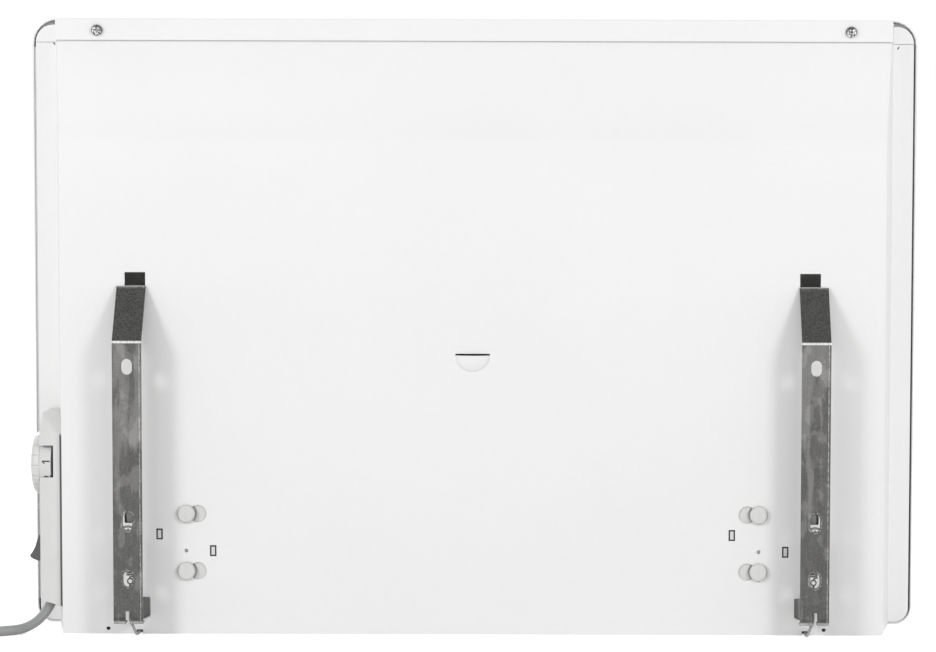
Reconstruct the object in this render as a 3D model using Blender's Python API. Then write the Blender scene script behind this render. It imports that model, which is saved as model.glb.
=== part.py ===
"""A wall panel convector heater, modelled in metres with its front facing -Y and +Z up.

The origin is under the middle of the casing, at the level of its bottom edge.
Left and right are as seen from the front, so the control side is the right, at +X.
"""

import math

import bmesh
import bpy
from mathutils import Euler, Matrix, Vector

# Overall sizes
WIDTH = 0.640
HEIGHT = 0.440
SHELL_DEPTH = 0.030
PAN_DEPTH = 0.050
STANDOFF = 0.025

# Gaps and cuts
CLEARANCE = 0.0003
RUNNING_GAP = 0.0004
OVERRUN = 0.004

# Sides of round pieces and holes
FINE_SIDES = 24
ROUND_SIDES = 20
SMALL_SIDES = 16
HOLE_SIDES = 12
PLUG_SIDES = 28

# Front shell
SHELL_WALL = 0.0012
TOP_CORNER_RADIUS = 0.018
BOTTOM_CORNER_RADIUS = 0.0125
SHELL_EDGE_RADIUS = 0.008
CORNER_STEPS = 6
EDGE_STEPS = 3

# Warm air outlet in the front
OUTLET_SIDE_INSET = 0.050
OUTLET_HEIGHT = 0.052
OUTLET_DROP = 0.022
OUTLET_FRAME_RIM = 0.0035
OUTLET_FRAME_DEPTH = 0.014
BLADE_COUNT = 4
BLADE_DEPTH = 0.012
BLADE_THICKNESS = 0.0015
BLADE_TILT = math.radians(15)

# Rear pan
PAN_WALL = 0.001
PAN_SIDE_INSET = 0.0275
PAN_FLARE = 0.0105
PAN_FOLD_DROP = 0.087
PAN_SLOPE_HEIGHT = 0.0705
FLANGE_INSET = 0.0025
LIP_DEPTH = 0.012
SCOOP_WIDTH = 0.0245
SCOOP_DROP = 0.0115
SCOOP_RISE = 0.0032
SCOOP_HEIGHT = 0.200
SCOOP_SLIT = 0.0012
SCOOP_STEPS = 20
DRAIN_RADIUS = 0.0015
DRAIN_HEIGHT = 0.0041
DRAIN_RIGHT_INSET = 0.0325
DRAIN_LEFT_INSET = 0.0415

# Corner channel and top strip
CHANNEL_WALL = 0.001
CHANNEL_HEIGHT = 0.0124
CHANNEL_CORNER_RADIUS = 0.0122
CHANNEL_FLANGE = 0.011
STRIP_WALL = 0.001
STRIP_END_INSET = 0.020
STRIP_HEIGHT = 0.015
STRIP_STAND = 0.020
STRIP_FLANGE = 0.012
STRIP_SCREW_INSET = 0.030
STRIP_SCREW_DROP = 0.008

# Pan head screws
SCREW_HEAD_RADIUS = 0.004
SCREW_HEAD_HEIGHT = 0.0025
SCREW_SHANK_RADIUS = 0.0018
SCREW_SHANK_LENGTH = 0.009
CROSS_LENGTH = 0.0044
CROSS_WIDTH = 0.0009
CROSS_DEPTH = 0.0013
SCREW_SHANK_SHARES = [(0.4, -1), (1, -0.8), (1, 0)]
SCREW_HEAD_SHARES = [(1, 0), (1, 0.4), (0.85, 0.8), (0.5, 1)]

# Element supports, locked in keyholes of the pan
SUPPORT_INSET = 0.116
SUPPORT_WIDTH = 0.049
SUPPORT_HEIGHT = 0.062
SUPPORT_THICKNESS = 0.0022
SUPPORT_MID = 0.066
STUD_SPACING = 0.041
STUD_HEAD_RADIUS = 0.0065
STUD_HEAD_HEIGHT = 0.003
STUD_HEAD_SHARES = [(1, 0), (1, 0.55), (0.92, 0.85), (0.78, 1)]
STUD_NECK_RADIUS = 0.0027
KEYHOLE_RADIUS = 0.00625
KEYHOLE_SLIDE = 0.0082
KEYHOLE_STEPS = 20
KEYHOLE_END_STEPS = 6
TAB_SPACING = 0.0382
TAB_WIDTH = 0.0039
TAB_HEIGHT = 0.0072
TAB_GAP = 0.00035
TAB_HIGH = 0.0718
TAB_LOW = 0.0599
PILOT_RADIUS = 0.00145
PILOT_HEIGHT = 0.0599
ARM_THICKNESS = 0.004
ARM_HEIGHT = 0.036
ARM_TIP_SHARE = 0.6

# Heating element
ELEMENT_Z = 0.066
ELEMENT_STAND = 0.038
FIN_COUNT = 10
FIN_RADIUS = 0.021
FIN_THICKNESS = 0.0016
HUB_RADIUS = 0.008
SPIGOT_RADIUS = 0.005
SPIGOT_LENGTH = 0.014
END_DISC_THICKNESS = 0.003
TERMINAL_RADIUS = 0.002
TERMINAL_LENGTH = 0.008

# Heat shield and thermal cutout
SHIELD_WALL = 0.0008
SHIELD_STAND = 0.010
SHIELD_END_INSET = 0.090
SHIELD_LOW = 0.022
SHIELD_HEIGHT = 0.180
SHIELD_FOLD = 0.0064
CUTOUT_X = -0.090
CUTOUT_Z = 0.130
CUTOUT_RADIUS = 0.008
CUTOUT_HEIGHT = 0.009
CUTOUT_BASE_SHARE = 0.6
CUTOUT_NECK_SHARE = 0.7
CUTOUT_PLATE_WIDTH = 0.024
CUTOUT_PLATE_HEIGHT = 0.026
CUTOUT_PLATE_REACH = 0.026
CUTOUT_PLATE_WALL = 0.0012

# Intake grille
GRILLE_WALL = 0.001
GRILLE_END_INSET = 0.034
GRILLE_COLUMNS = 10
GRILLE_ROWS = 3
GRILLE_BAR = 0.0112
GRILLE_SLOT_WIDTH = 0.008
GRILLE_REAR_GAP = 0.0085

# Control housing
HOUSING_WALL = 0.0015
HOUSING_SIDE_INSET = 0.011
HOUSING_COVER_WIDTH = 0.024
HOUSING_BASE_WIDTH = 0.023
HOUSING_LOW = 0.0185
HOUSING_HIGH = 0.157
HOUSING_DEPTH = 0.0455
HOUSING_BEVEL = 0.013
HOUSING_SLANT = 0.005
HOUSING_EDGE = 0.0012

# Thermostat and dial
DIAL_Z = 0.120
DIAL_STAND = 0.0232
DIAL_RADIUS = 0.0225
DIAL_SEAT_DEPTH = 0.0092
DIAL_PROUD = 0.007
DIAL_ROUNDING = 0.004
DIAL_SIDES = 48
DIAL_BORE_DEPTH = 0.007
SHAFT_RADIUS = 0.003
WINDOW_HEIGHT = 0.0229
WINDOW_RAISE = 0.003
THERMOSTAT_WIDTH = 0.028
THERMOSTAT_HEIGHT = 0.034
THERMOSTAT_FACE_GAP = 0.0023
SHAFT_SOCKET_DEPTH = 0.008

# Rocker switch
SWITCH_Z = 0.0587
SWITCH_WIDTH = 0.015
SWITCH_HEIGHT = 0.0232
SWITCH_DEPTH = 0.021
SWITCH_WALL = 0.0008
BEZEL_WIDTH = 0.0176
BEZEL_HEIGHT = 0.0258
BEZEL_THICKNESS = 0.0007
ROCKER_HALF = 0.0103
ROCKER_TIP = 0.0082
ROCKER_TIP_RISE = 0.0055
ROCKER_END_RISE = 0.0020
ROCKER_MID_RISE = 0.0042
ROCKER_ROOT_HALF = 0.0052
ROCKER_ROOT_DEPTH = 0.0060
ROCKER_REST = math.radians(-14)

# Terminal block and leads
BLOCK_LENGTH = 0.024
BLOCK_HEIGHT = 0.013
BLOCK_DEPTH = 0.014
BLOCK_Z = 0.036
BLOCK_BORE_RADIUS = 0.0022
LEAD_RADIUS = 0.0013
LEAD_WIDE = 0.012
LEAD_SIDE_SHARES = (-0.5, 0.5)

# Cord and its gland
CORD_DIAMETER = 0.007
CORD_EXIT_OUT = 0.0103
CORD_EXIT_STAND = 0.035
CORD_EXIT_DOWN = math.radians(63)
CORD_EXIT_TURN = math.radians(44)
GLAND_RADIUS = 0.0046
GLAND_LENGTH = 0.0085
GLAND_BORE_SHARE = 0.6

# Cord coil
COIL_STAND_OUT = 0.0765
COIL_Y = -0.0073
COIL_RADIUS = 0.0373
COIL_TURNS = 6
COIL_LAYERS = 2
COIL_PITCH = 0.0076
COIL_TURN_STEPS = 24
LEAVING_STEPS = 1
TAIL_STEPS = 4

# Mains plug
PLUG_RADIUS = 0.0188
PLUG_THICKNESS = 0.028
PLUG_FACE_RECESS = 0.0025
PLUG_BODY_SHARES = [(0.82, 0), (0.96, 0.1), (1, 0.3), (1, 1), (0.86, 1)]
PLUG_ENTRY_Z = 0.0185
PLUG_NECK_RADIUS = 0.0058
PLUG_NECK_LENGTH = 0.013
PLUG_NECK_SHARE = 1.5
PIN_RADIUS = 0.0024
PIN_LENGTH = 0.019
PIN_SPACING = 0.019
PIN_SEAT = 0.006
PIN_TIP_SHARE = 0.5
CLIP_WIDTH = 0.006
CLIP_THICKNESS = 0.0012
CLIP_HEIGHT = 0.016
PLUG_DISTANCE = 0.0735

# Wall brackets
BRACKET_INSET = 0.078
BRACKET_SKEW = 0.0025
BRACKET_WIDTH = 0.0205
BRACKET_WALL = 0.0015
BRACKET_LOW = 0.0112
BRACKET_BEND_Z = 0.211
BRACKET_TOP = 0.249
TONGUE_WIDTH = 0.012
TONGUE_LEG = 0.007
TONGUE_GAP = 0.002
SLOT_WIDTH = 0.0147
SLOT_RISE = 0.0096
LIP_REACH = 0.009
WING_HIGH = 0.028
WING_LOW = 0.0128
WING_REACH = 0.0220
WING_CORNER = 0.008
OVAL_TOP_Z = 0.1932
OVAL_TOP_WIDTH = 0.0076
OVAL_TOP_HEIGHT = 0.0113
OVAL_MID_Z = 0.0839
OVAL_MID_WIDTH = 0.0068
OVAL_MID_HEIGHT = 0.0125
OVAL_LOW_Z = 0.0431
OVAL_LOW_WIDTH = 0.0066
OVAL_LOW_HEIGHT = 0.0110
FOOT_SLOT_WIDTH = 0.0039
FOOT_SLOT_TOP = 0.0203

# Retaining springs and hook wires
SPRING_STAND = 0.0090
SPRING_RADIUS = 0.0027
SPRING_WIRE = 0.0005
SPRING_CURLS = 12
SPRING_CURL_STEPS = 9
SPRING_HIGH = 0.0745
SPRING_LOW = 0.051
HOOK_WIRE = 0.001
HOOK_TOP = 0.0455
HOOK_LEAN = 0.0045
HOOK_LEG_Z = 0.0018
HOOK_LEG_REACH = 0.006
NOTCH_WIDTH = 0.0046

# Places that follow from the sizes
HALF = WIDTH / 2
FRONT_Y = -(SHELL_DEPTH + PAN_DEPTH + STANDOFF) / 2
FLANGE_Y = FRONT_Y + SHELL_DEPTH
PAN_Y = FLANGE_Y + PAN_DEPTH
WALL_Y = PAN_Y + STANDOFF
PAN_INNER_Y = PAN_Y - PAN_WALL
SHELL_INNER_Y = FRONT_Y + SHELL_WALL
PAN_REAR_HALF = HALF - PAN_SIDE_INSET
PAN_FRONT_HALF = PAN_REAR_HALF + PAN_FLARE
FLANGE_HALF = HALF - FLANGE_INSET
FOLD_Z = HEIGHT - PAN_FOLD_DROP
SLOPE_TOP_Z = FOLD_Z + PAN_SLOPE_HEIGHT
DRAIN_XS = (PAN_REAR_HALF - DRAIN_RIGHT_INSET, DRAIN_LEFT_INSET - PAN_REAR_HALF)
OUTLET_WIDTH = WIDTH - 2 * OUTLET_SIDE_INSET
STRIP_LENGTH = WIDTH - 2 * STRIP_END_INSET
SHIELD_WIDTH = WIDTH - 2 * SHIELD_END_INSET
GRILLE_WIDTH = WIDTH - 2 * GRILLE_END_INSET
GRILLE_SLOT_LENGTH = GRILLE_WIDTH / GRILLE_COLUMNS - GRILLE_BAR
SUPPORT_X = HALF - SUPPORT_INSET
BRACKET_X = HALF - BRACKET_INSET
HOUSING_OUTER = HALF - HOUSING_SIDE_INSET
HOUSING_SPLIT = HOUSING_OUTER - HOUSING_COVER_WIDTH
HOUSING_INNER = HOUSING_SPLIT - HOUSING_BASE_WIDTH
DIAL_INNER = HOUSING_OUTER - DIAL_SEAT_DEPTH
STRIP_TOP_Z = HEIGHT - SHELL_WALL - CLEARANCE
PAN_TOP_Z = STRIP_TOP_Z - STRIP_WALL - CLEARANCE
TAB_DEPTH = STRIP_STAND - STRIP_WALL - CLEARANCE
CHANNEL_LOW_Z = SLOPE_TOP_Z - CLEARANCE * 2
FLANGE_TOP_Z = CHANNEL_LOW_Z - CLEARANCE
STRIP_SCREW_X = STRIP_LENGTH / 2 - STRIP_SCREW_INSET
STRIP_SCREW_Z = STRIP_TOP_Z - STRIP_SCREW_DROP
ELEMENT_Y = PAN_INNER_Y - ELEMENT_STAND
SUPPORT_BACK_Y = PAN_INNER_Y - CLEARANCE
SUPPORT_FRONT_Y = SUPPORT_BACK_Y - SUPPORT_THICKNESS
SHIELD_Y = SHELL_INNER_Y + SHIELD_STAND
OUTLET_HIGH_Z = HEIGHT - OUTLET_DROP
OUTLET_LOW_Z = OUTLET_HIGH_Z - OUTLET_HEIGHT
BLADE_PITCH = OUTLET_HEIGHT / (BLADE_COUNT + 1)
FRAME_FRONT_Y = SHELL_INNER_Y + CLEARANCE
FRAME_REAR_Y = FRAME_FRONT_Y + OUTLET_FRAME_DEPTH
DIAL_Y = FLANGE_Y + DIAL_STAND
DIAL_OUTER = HOUSING_OUTER + DIAL_PROUD
THERMOSTAT_FACE = DIAL_INNER - THERMOSTAT_FACE_GAP
HOUSING_FRONT_Y = FLANGE_Y + CLEARANCE
HOUSING_REAR_Y = FLANGE_Y + HOUSING_DEPTH
BRACKET_INNER_Y = WALL_Y - BRACKET_WALL
SLOT_LOW_Z = BRACKET_TOP - BRACKET_WALL - CLEARANCE
SLOT_HIGH_Z = BRACKET_TOP + SLOT_RISE
SPRING_Y = BRACKET_INNER_Y - SPRING_STAND
NOTCH_TOP_Z = HOOK_LEG_Z + HOOK_WIRE + CLEARANCE
CORD_RADIUS = CORD_DIAMETER / 2
CORD_EXIT_X = PAN_REAR_HALF + CORD_EXIT_OUT
CORD_EXIT_Y = FLANGE_Y + CORD_EXIT_STAND
CORD_DOWN = Vector((
    math.cos(CORD_EXIT_DOWN) * math.cos(CORD_EXIT_TURN),
    math.cos(CORD_EXIT_DOWN) * math.sin(CORD_EXIT_TURN),
    -math.sin(CORD_EXIT_DOWN),
))
COIL_X = HALF + COIL_STAND_OUT
LEAVING_ANGLE = 2 * math.pi * LEAVING_STEPS / COIL_TURN_STEPS

# Route of the free cord, from the gland towards the coil, chosen by hand: x counts from the casing's side
CORD_ROUTE = [
    (-0.0172, 0.0125, 0.0216),
    (-0.0148, 0.0148, 0.0163),
    (-0.0117, 0.0179, 0.0118),
    (-0.0080, 0.0214, 0.0081),
    (-0.0042, 0.0250, 0.0057),
    (-0.0003, 0.0289, 0.0042),
    (0.0038, 0.0328, 0.0037),
    (0.0083, 0.0364, 0.0037),
    (0.0134, 0.0391, 0.0037),
    (0.0190, 0.0407, 0.0037),
    (0.0247, 0.0412, 0.0037),
    (0.0350, 0.0412, 0.0037),
    (0.0460, 0.0412, 0.0037),
    (0.0570, 0.0412, 0.0037),
]


# The scene starts empty, and each finish is one material

def clear_scene():
    for item in list(bpy.data.objects):
        bpy.data.objects.remove(item, do_unlink=True)


def finish(name, colour, roughness, metallic=0.0):
    look = bpy.data.materials.new(name)
    look.use_nodes = True
    shader = look.node_tree.nodes["Principled BSDF"]
    shader.inputs["Base Color"].default_value = (*colour, 1.0)
    shader.inputs["Roughness"].default_value = roughness
    shader.inputs["Metallic"].default_value = metallic
    look.diffuse_color = (*colour, 1.0)
    return look


# Solids are closed meshes: prisms, lofts between rings, turned profiles and tubes

def add_object(name, shape, look=None):
    """An object holding the bmesh shape, with its faces turned outwards."""
    bmesh.ops.recalc_face_normals(shape, faces=shape.faces[:])
    mesh = bpy.data.meshes.new(name)
    shape.to_mesh(mesh)
    shape.free()
    if look:
        mesh.materials.append(look)
    piece = bpy.data.objects.new(name, mesh)
    bpy.context.scene.collection.objects.link(piece)
    return piece


def smooth(piece, angle=math.radians(35)):
    piece.data.shade_smooth()
    piece.data.set_sharp_from_angle(angle=angle)
    return piece


def place(axis, along, u, v):
    """The point at u, v of the plane across axis: y and z for X, x and z for Y, x and y for Z."""
    return {"X": (along, u, v), "Y": (u, along, v), "Z": (u, v, along)}[axis]


def add_rings(shape, rings):
    """Rings of as many points each, joined in turn and capped at both ends."""
    made = [[shape.verts.new(point) for point in ring] for ring in rings]
    for first, second in zip(made, made[1:]):
        for i in range(len(first)):
            j = (i + 1) % len(first)
            shape.faces.new((first[i], first[j], second[j], second[i]))
    shape.faces.new(made[0])
    shape.faces.new(made[-1])


def loft(name, rings, look=None):
    shape = bmesh.new()
    add_rings(shape, rings)
    return add_object(name, shape, look)


def prisms(name, outlines, axis, start, end, look=None):
    """One mesh with a prism for each outline, from start to end along axis."""
    shape = bmesh.new()
    for outline in outlines:
        add_rings(shape, [[place(axis, s, u, v) for u, v in outline] for s in (start, end)])
    return add_object(name, shape, look)


def prism(name, outline, axis, start, end, look=None):
    return prisms(name, [outline], axis, start, end, look)


def rectangle(low_u, low_v, high_u, high_v):
    return [(low_u, low_v), (high_u, low_v), (high_u, high_v), (low_u, high_v)]


def circle(u, v, radius, sides=24):
    turn = 2 * math.pi / sides
    return [(u + radius * math.cos(turn * k), v + radius * math.sin(turn * k)) for k in range(sides)]


def stadium(u, v, width, height, steps=6):
    """An upright slot with round ends."""
    radius = width / 2
    lift = height / 2 - radius
    points = []
    for k in range(2 * steps + 2):
        upper = k <= steps
        angle = math.pi * (k if upper else k - 1) / steps
        centre = v + lift if upper else v - lift
        points.append((u + radius * math.cos(angle), centre + radius * math.sin(angle)))
    return points


def block(name, low, high, look=None):
    return prism(name, rectangle(low[0], low[1], high[0], high[1]), "Z", low[2], high[2], look)


def rounded_outline(half, low, high, low_radius, high_radius):
    """A rectangle of width 2 * half from low to high, with rounded corners."""
    corners = [
        (half - low_radius, low + low_radius, low_radius, -90),
        (half - high_radius, high - high_radius, high_radius, 0),
        (-half + high_radius, high - high_radius, high_radius, 90),
        (-half + low_radius, low + low_radius, low_radius, 180),
    ]
    points = []
    for u, v, radius, first in corners:
        for k in range(CORNER_STEPS + 1):
            angle = math.radians(first + 90 * k / CORNER_STEPS)
            points.append((u + radius * math.cos(angle), v + radius * math.sin(angle)))
    return points


def turned(name, profile, look, sides=24):
    """A solid turned about local Z, from a profile of (radius, height) that starts and ends off the axis."""
    rings = [[(r * math.cos(a), r * math.sin(a), h) for a in ring_angles(sides)] for r, h in profile]
    return smooth(loft(name, rings, look))


def ring_angles(sides):
    return [2 * math.pi * k / sides for k in range(sides)]


def stand_along(piece, axis, location):
    """Turns local Z of piece to axis and moves its origin to location."""
    piece.rotation_euler = Vector(axis).to_track_quat("Z", "Y").to_euler()
    piece.location = location
    return piece


def as_helper(piece):
    piece.hide_render = True
    piece.display_type = "WIRE"
    return piece


def combine(piece, other, operation):
    step = piece.modifiers.new(operation.lower(), "BOOLEAN")
    step.operation = operation
    step.object = as_helper(other)
    step.solver = "EXACT"
    return piece


def carve(piece, *cutters):
    for cutter in cutters:
        combine(piece, cutter, "DIFFERENCE")
    return piece


def fuse(piece, *others):
    for other in others:
        combine(piece, other, "UNION")
    return piece


def tube(name, points, radius, look, resolution=2):
    """A round wire or cord through the points, with closed ends."""
    curve = bpy.data.curves.new(name, "CURVE")
    curve.dimensions = "3D"
    curve.bevel_depth = radius
    curve.bevel_resolution = resolution
    curve.use_fill_caps = True
    spline = curve.splines.new("POLY")
    spline.points.add(len(points) - 1)
    for target, point in zip(spline.points, points):
        target.co = (*point, 1.0)
    curve.materials.append(look)
    piece = bpy.data.objects.new(name, curve)
    bpy.context.scene.collection.objects.link(piece)
    return piece


def smooth_route(points, steps):
    """Points of a Catmull-Rom curve through the given ones, steps to each span."""
    knots = [Vector(point) for point in points]
    knots = [knots[0] * 2 - knots[1]] + knots + [knots[-1] * 2 - knots[-2]]
    made = []
    for a, b, c, d in zip(knots, knots[1:], knots[2:], knots[3:]):
        for k in range(steps):
            t = k / steps
            made.append(
                ((b * 2) + (c - a) * t + (a * 2 - b * 5 + c * 4 - d) * t**2 + (b * 3 - a - c * 3 + d) * t**3) / 2
            )
    return made + [knots[-2]]


def route_length(points):
    return sum((Vector(b) - Vector(a)).length for a, b in zip(points, points[1:]))


# Front shell: a pressed sheet tray with rounded corners, open at the back and below

def shell_rings():
    """Rings from the middle of the front, out round the edge to the rim and back along the inner face."""
    places = []
    for k in range(EDGE_STEPS + 1):
        angle = math.pi / 2 * k / EDGE_STEPS
        inset = SHELL_EDGE_RADIUS * (1 - math.sin(angle))
        places.append((inset, FRONT_Y + SHELL_EDGE_RADIUS * (1 - math.cos(angle))))
    places.append((0, FLANGE_Y))
    places.append((SHELL_WALL, FLANGE_Y))
    inner_radius = SHELL_EDGE_RADIUS - SHELL_WALL
    for k in reversed(range(EDGE_STEPS + 1)):
        angle = math.pi / 2 * k / EDGE_STEPS
        inset = SHELL_EDGE_RADIUS - inner_radius * math.sin(angle)
        places.append((inset, FRONT_Y + SHELL_EDGE_RADIUS - inner_radius * math.cos(angle)))
    return [[(u, y, v) for u, v in shell_outline(inset)] for inset, y in places]


def shell_outline(inset):
    return rounded_outline(
        HALF - inset,
        inset,
        HEIGHT - inset,
        BOTTOM_CORNER_RADIUS - inset,
        TOP_CORNER_RADIUS - inset,
    )


def outlet_outline(grow):
    half = OUTLET_WIDTH / 2 + grow
    return rectangle(-half, OUTLET_LOW_Z - grow, half, OUTLET_HIGH_Z + grow)


def make_front_shell(paint):
    shell = smooth(loft("front_shell", shell_rings(), paint))
    window = prism("outlet_cutter", outlet_outline(0), "Y", FRONT_Y - OVERRUN, SHELL_INNER_Y + OVERRUN)
    return carve(shell, window)


# Outlet: a frame behind the window and fixed blades across it

def make_outlet(paint):
    frame = prism("outlet_frame", outlet_outline(OUTLET_FRAME_RIM), "Y", FRAME_FRONT_Y, FRAME_REAR_Y, paint)
    opening = prism("outlet_frame_cutter", outlet_outline(0), "Y", FRONT_Y - OVERRUN, FRAME_REAR_Y + OVERRUN)
    carve(frame, opening)
    for k in range(BLADE_COUNT):
        make_blade(f"outlet_blade_{k + 1}", OUTLET_LOW_Z + BLADE_PITCH * (k + 1), paint)


def make_blade(name, height, paint):
    half = OUTLET_WIDTH / 2 - CLEARANCE
    deep = BLADE_DEPTH / 2
    thick = BLADE_THICKNESS / 2
    nose = thick / 2
    outline = [
        (-deep, -nose), (-deep + nose, -thick), (deep - nose, -thick), (deep, -nose),
        (deep, nose), (deep - nose, thick), (-deep + nose, thick), (-deep, nose),
    ]
    blade = prism(name, outline, "X", -half, half, paint)
    blade.location = (0, (FRAME_FRONT_Y + FRAME_REAR_Y) / 2, height)
    blade.rotation_euler = Euler((-BLADE_TILT, 0, 0))
    return blade


# Rear pan: one folded sheet with flared sides, side flanges and a lip along the bottom

def pan_half_width(depth):
    return PAN_FRONT_HALF - PAN_FLARE * depth / PAN_DEPTH


def pan_ring(height, depth):
    """The pan's cross-section at one height, from the right flange over the back to the left flange and back."""
    rear = pan_half_width(depth)
    slant = PAN_WALL * PAN_FLARE / PAN_DEPTH
    outer = [(FLANGE_HALF, 0), (PAN_FRONT_HALF, 0), (rear, depth)]
    inner = [(rear - PAN_WALL + slant, depth - PAN_WALL), (PAN_FRONT_HALF - PAN_WALL, -PAN_WALL), (FLANGE_HALF, -PAN_WALL)]
    right = [(x, FLANGE_Y + d, height) for x, d in outer]
    right_inner = [(x, FLANGE_Y + d, height) for x, d in inner]
    left = [(-x, y, z) for x, y, z in reversed(right)]
    left_inner = [(-x, y, z) for x, y, z in reversed(right_inner)]
    return right + left + left_inner + right_inner


def make_rear_pan(paint):
    stations = [(0, PAN_DEPTH), (FOLD_Z, PAN_DEPTH), (SLOPE_TOP_Z, TAB_DEPTH), (PAN_TOP_Z, TAB_DEPTH)]
    pan = loft("rear_pan", [pan_ring(height, depth) for height, depth in stations], paint)
    half = PAN_REAR_HALF - PAN_WALL / 2
    lip = block("pan_lip", (-half, PAN_Y - LIP_DEPTH, 0), (half, PAN_Y - PAN_WALL / 2, PAN_WALL))
    fuse(pan, lip, scoop_dome("scoop_dome", 0, PAN_INNER_Y + PAN_WALL / 2, SCOOP_HEIGHT))
    carve(pan, scoop_dome("scoop_hollow", PAN_WALL, PAN_INNER_Y - OVERRUN, SCOOP_HEIGHT + SCOOP_SLIT))
    carve(pan, pan_hole_cutter(), pan_notch_cutter(), flange_top_cutter(), flange_foot_cutter(), housing_cutter())
    return pan


def scoop_dome(name, inset, front, top):
    """The lower half of a flattened dome on the pan's back, cut level at top."""
    half = SCOOP_WIDTH / 2 - inset
    drop = SCOOP_DROP - inset
    rise = SCOOP_RISE - inset
    shape = bmesh.new()
    bmesh.ops.create_uvsphere(shape, u_segments=SCOOP_STEPS, v_segments=SCOOP_STEPS // 2, radius=1)
    stretch = Matrix.Diagonal((half, rise, drop, 1))
    bmesh.ops.transform(shape, matrix=Matrix.Translation((0, PAN_Y, SCOOP_HEIGHT)) @ stretch, verts=shape.verts[:])
    halve(shape, (0, 0, top), (0, 0, 1))
    halve(shape, (0, max(front, PAN_Y - rise / 2), 0), (0, -1, 0))
    return add_object(name, shape)


def halve(shape, point, normal):
    """Cuts off what lies beyond the plane, and closes the cut."""
    parts = shape.verts[:] + shape.edges[:] + shape.faces[:]
    cut = bmesh.ops.bisect_plane(shape, geom=parts, plane_co=point, plane_no=normal, clear_outer=True)
    edges = [part for part in cut["geom_cut"] if isinstance(part, bmesh.types.BMEdge)]
    bmesh.ops.edgenet_fill(shape, edges=edges)


def keyhole(centre, height, towards):
    """A round hole with a narrower slot that runs from it to the locked place of the stud."""
    neck = STUD_NECK_RADIUS + RUNNING_GAP
    open_angle = math.asin(neck / KEYHOLE_RADIUS)
    points = []
    for k in range(KEYHOLE_STEPS + 1):
        angle = open_angle + (2 * math.pi - 2 * open_angle) * k / KEYHOLE_STEPS
        points.append((centre + towards * KEYHOLE_RADIUS * math.cos(angle), height + KEYHOLE_RADIUS * math.sin(angle)))
    for k in range(KEYHOLE_END_STEPS + 1):
        angle = -math.pi / 2 + math.pi * k / KEYHOLE_END_STEPS
        end = centre + towards * (KEYHOLE_SLIDE + neck * math.cos(angle))
        points.append((end, height + neck * math.sin(angle)))
    return points


def stud_heights():
    return [SUPPORT_MID + STUD_SPACING / 2 * up for up in (1, -1)]


def tab_places(side):
    """Centres of the two snap tabs of a support: the one nearer +X is the higher."""
    middle = SUPPORT_X * side
    return [(middle + TAB_SPACING / 2, TAB_HIGH), (middle - TAB_SPACING / 2, TAB_LOW)]


def centred(u, v, width, height):
    return rectangle(u - width / 2, v - height / 2, u + width / 2, v + height / 2)


def pan_hole_cutter():
    outlines = []
    for side in (-1, 1):
        slot_x = side * (BRACKET_X - BRACKET_SKEW)
        slot_mid = (SLOT_LOW_Z + SLOT_HIGH_Z) / 2
        outlines.append(centred(slot_x, slot_mid, SLOT_WIDTH, SLOT_HIGH_Z - SLOT_LOW_Z))
        for height in stud_heights():
            outlines.append(keyhole(side * (SUPPORT_X - KEYHOLE_SLIDE), height, side))
        for x, height in tab_places(side):
            outlines.append(centred(x, height, TAB_WIDTH + 2 * TAB_GAP, TAB_HEIGHT + 2 * TAB_GAP))
        outlines.append(circle(side * SUPPORT_X, PILOT_HEIGHT, PILOT_RADIUS, HOLE_SIDES))
        outlines.append(circle(side * STRIP_SCREW_X, STRIP_SCREW_Z, SCREW_SHANK_RADIUS + RUNNING_GAP, SMALL_SIDES))
    outlines += [circle(x, DRAIN_HEIGHT, DRAIN_RADIUS, HOLE_SIDES) for x in DRAIN_XS]
    slit = rectangle(-SCOOP_WIDTH / 2, SCOOP_HEIGHT, SCOOP_WIDTH / 2, SCOOP_HEIGHT + SCOOP_SLIT)
    outlines.append(slit)
    return prisms("pan_hole_cutter", outlines, "Y", FLANGE_Y, PAN_Y + OVERRUN)


def hook_x(side):
    """Where a hook wire's leg passes under the pan's edge."""
    return side * (BRACKET_X - HOOK_LEAN)


def pan_notch_cutter():
    half = NOTCH_WIDTH / 2
    outlines = [rectangle(hook_x(side) - half, -OVERRUN, hook_x(side) + half, NOTCH_TOP_Z) for side in (-1, 1)]
    front = PAN_Y - HOOK_LEG_REACH - CLEARANCE * 4
    return prisms("pan_notch_cutter", outlines, "Y", front, PAN_Y + OVERRUN)


def flange_top_cutter():
    """Takes the side flanges off beside the corner channel."""
    low = (-HALF, FLANGE_Y - PAN_WALL - OVERRUN, FLANGE_TOP_Z)
    return block("flange_top_cutter", low, (HALF, FLANGE_Y + CLEARANCE, HEIGHT + OVERRUN))


def flange_foot_cutter():
    """Lifts the side flanges off the shell's floor and rounds their lower corners."""
    radius = BOTTOM_CORNER_RADIUS - FLANGE_INSET
    low = SHELL_WALL + CLEARANCE
    right = [(HALF, -OVERRUN), (HALF, low + radius)]
    for k in range(CORNER_STEPS + 1):
        angle = math.pi / 2 * k / CORNER_STEPS
        right.append((FLANGE_HALF - radius + radius * math.cos(angle), low + radius - radius * math.sin(angle)))
    outline = right + [(-x, z) for x, z in reversed(right)]
    return prism("flange_foot_cutter", outline, "Y", FLANGE_Y - PAN_WALL - OVERRUN, FLANGE_Y + CLEARANCE)


def housing_cutter():
    """The opening in the right side of the pan for the control housing."""
    low = (HOUSING_SPLIT - OVERRUN, FLANGE_Y - PAN_WALL * 2, HOUSING_LOW - RUNNING_GAP)
    high = (PAN_FRONT_HALF + CLEARANCE, HOUSING_REAR_Y + RUNNING_GAP, HOUSING_HIGH + RUNNING_GAP)
    return block("housing_cutter", low, high)


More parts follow.
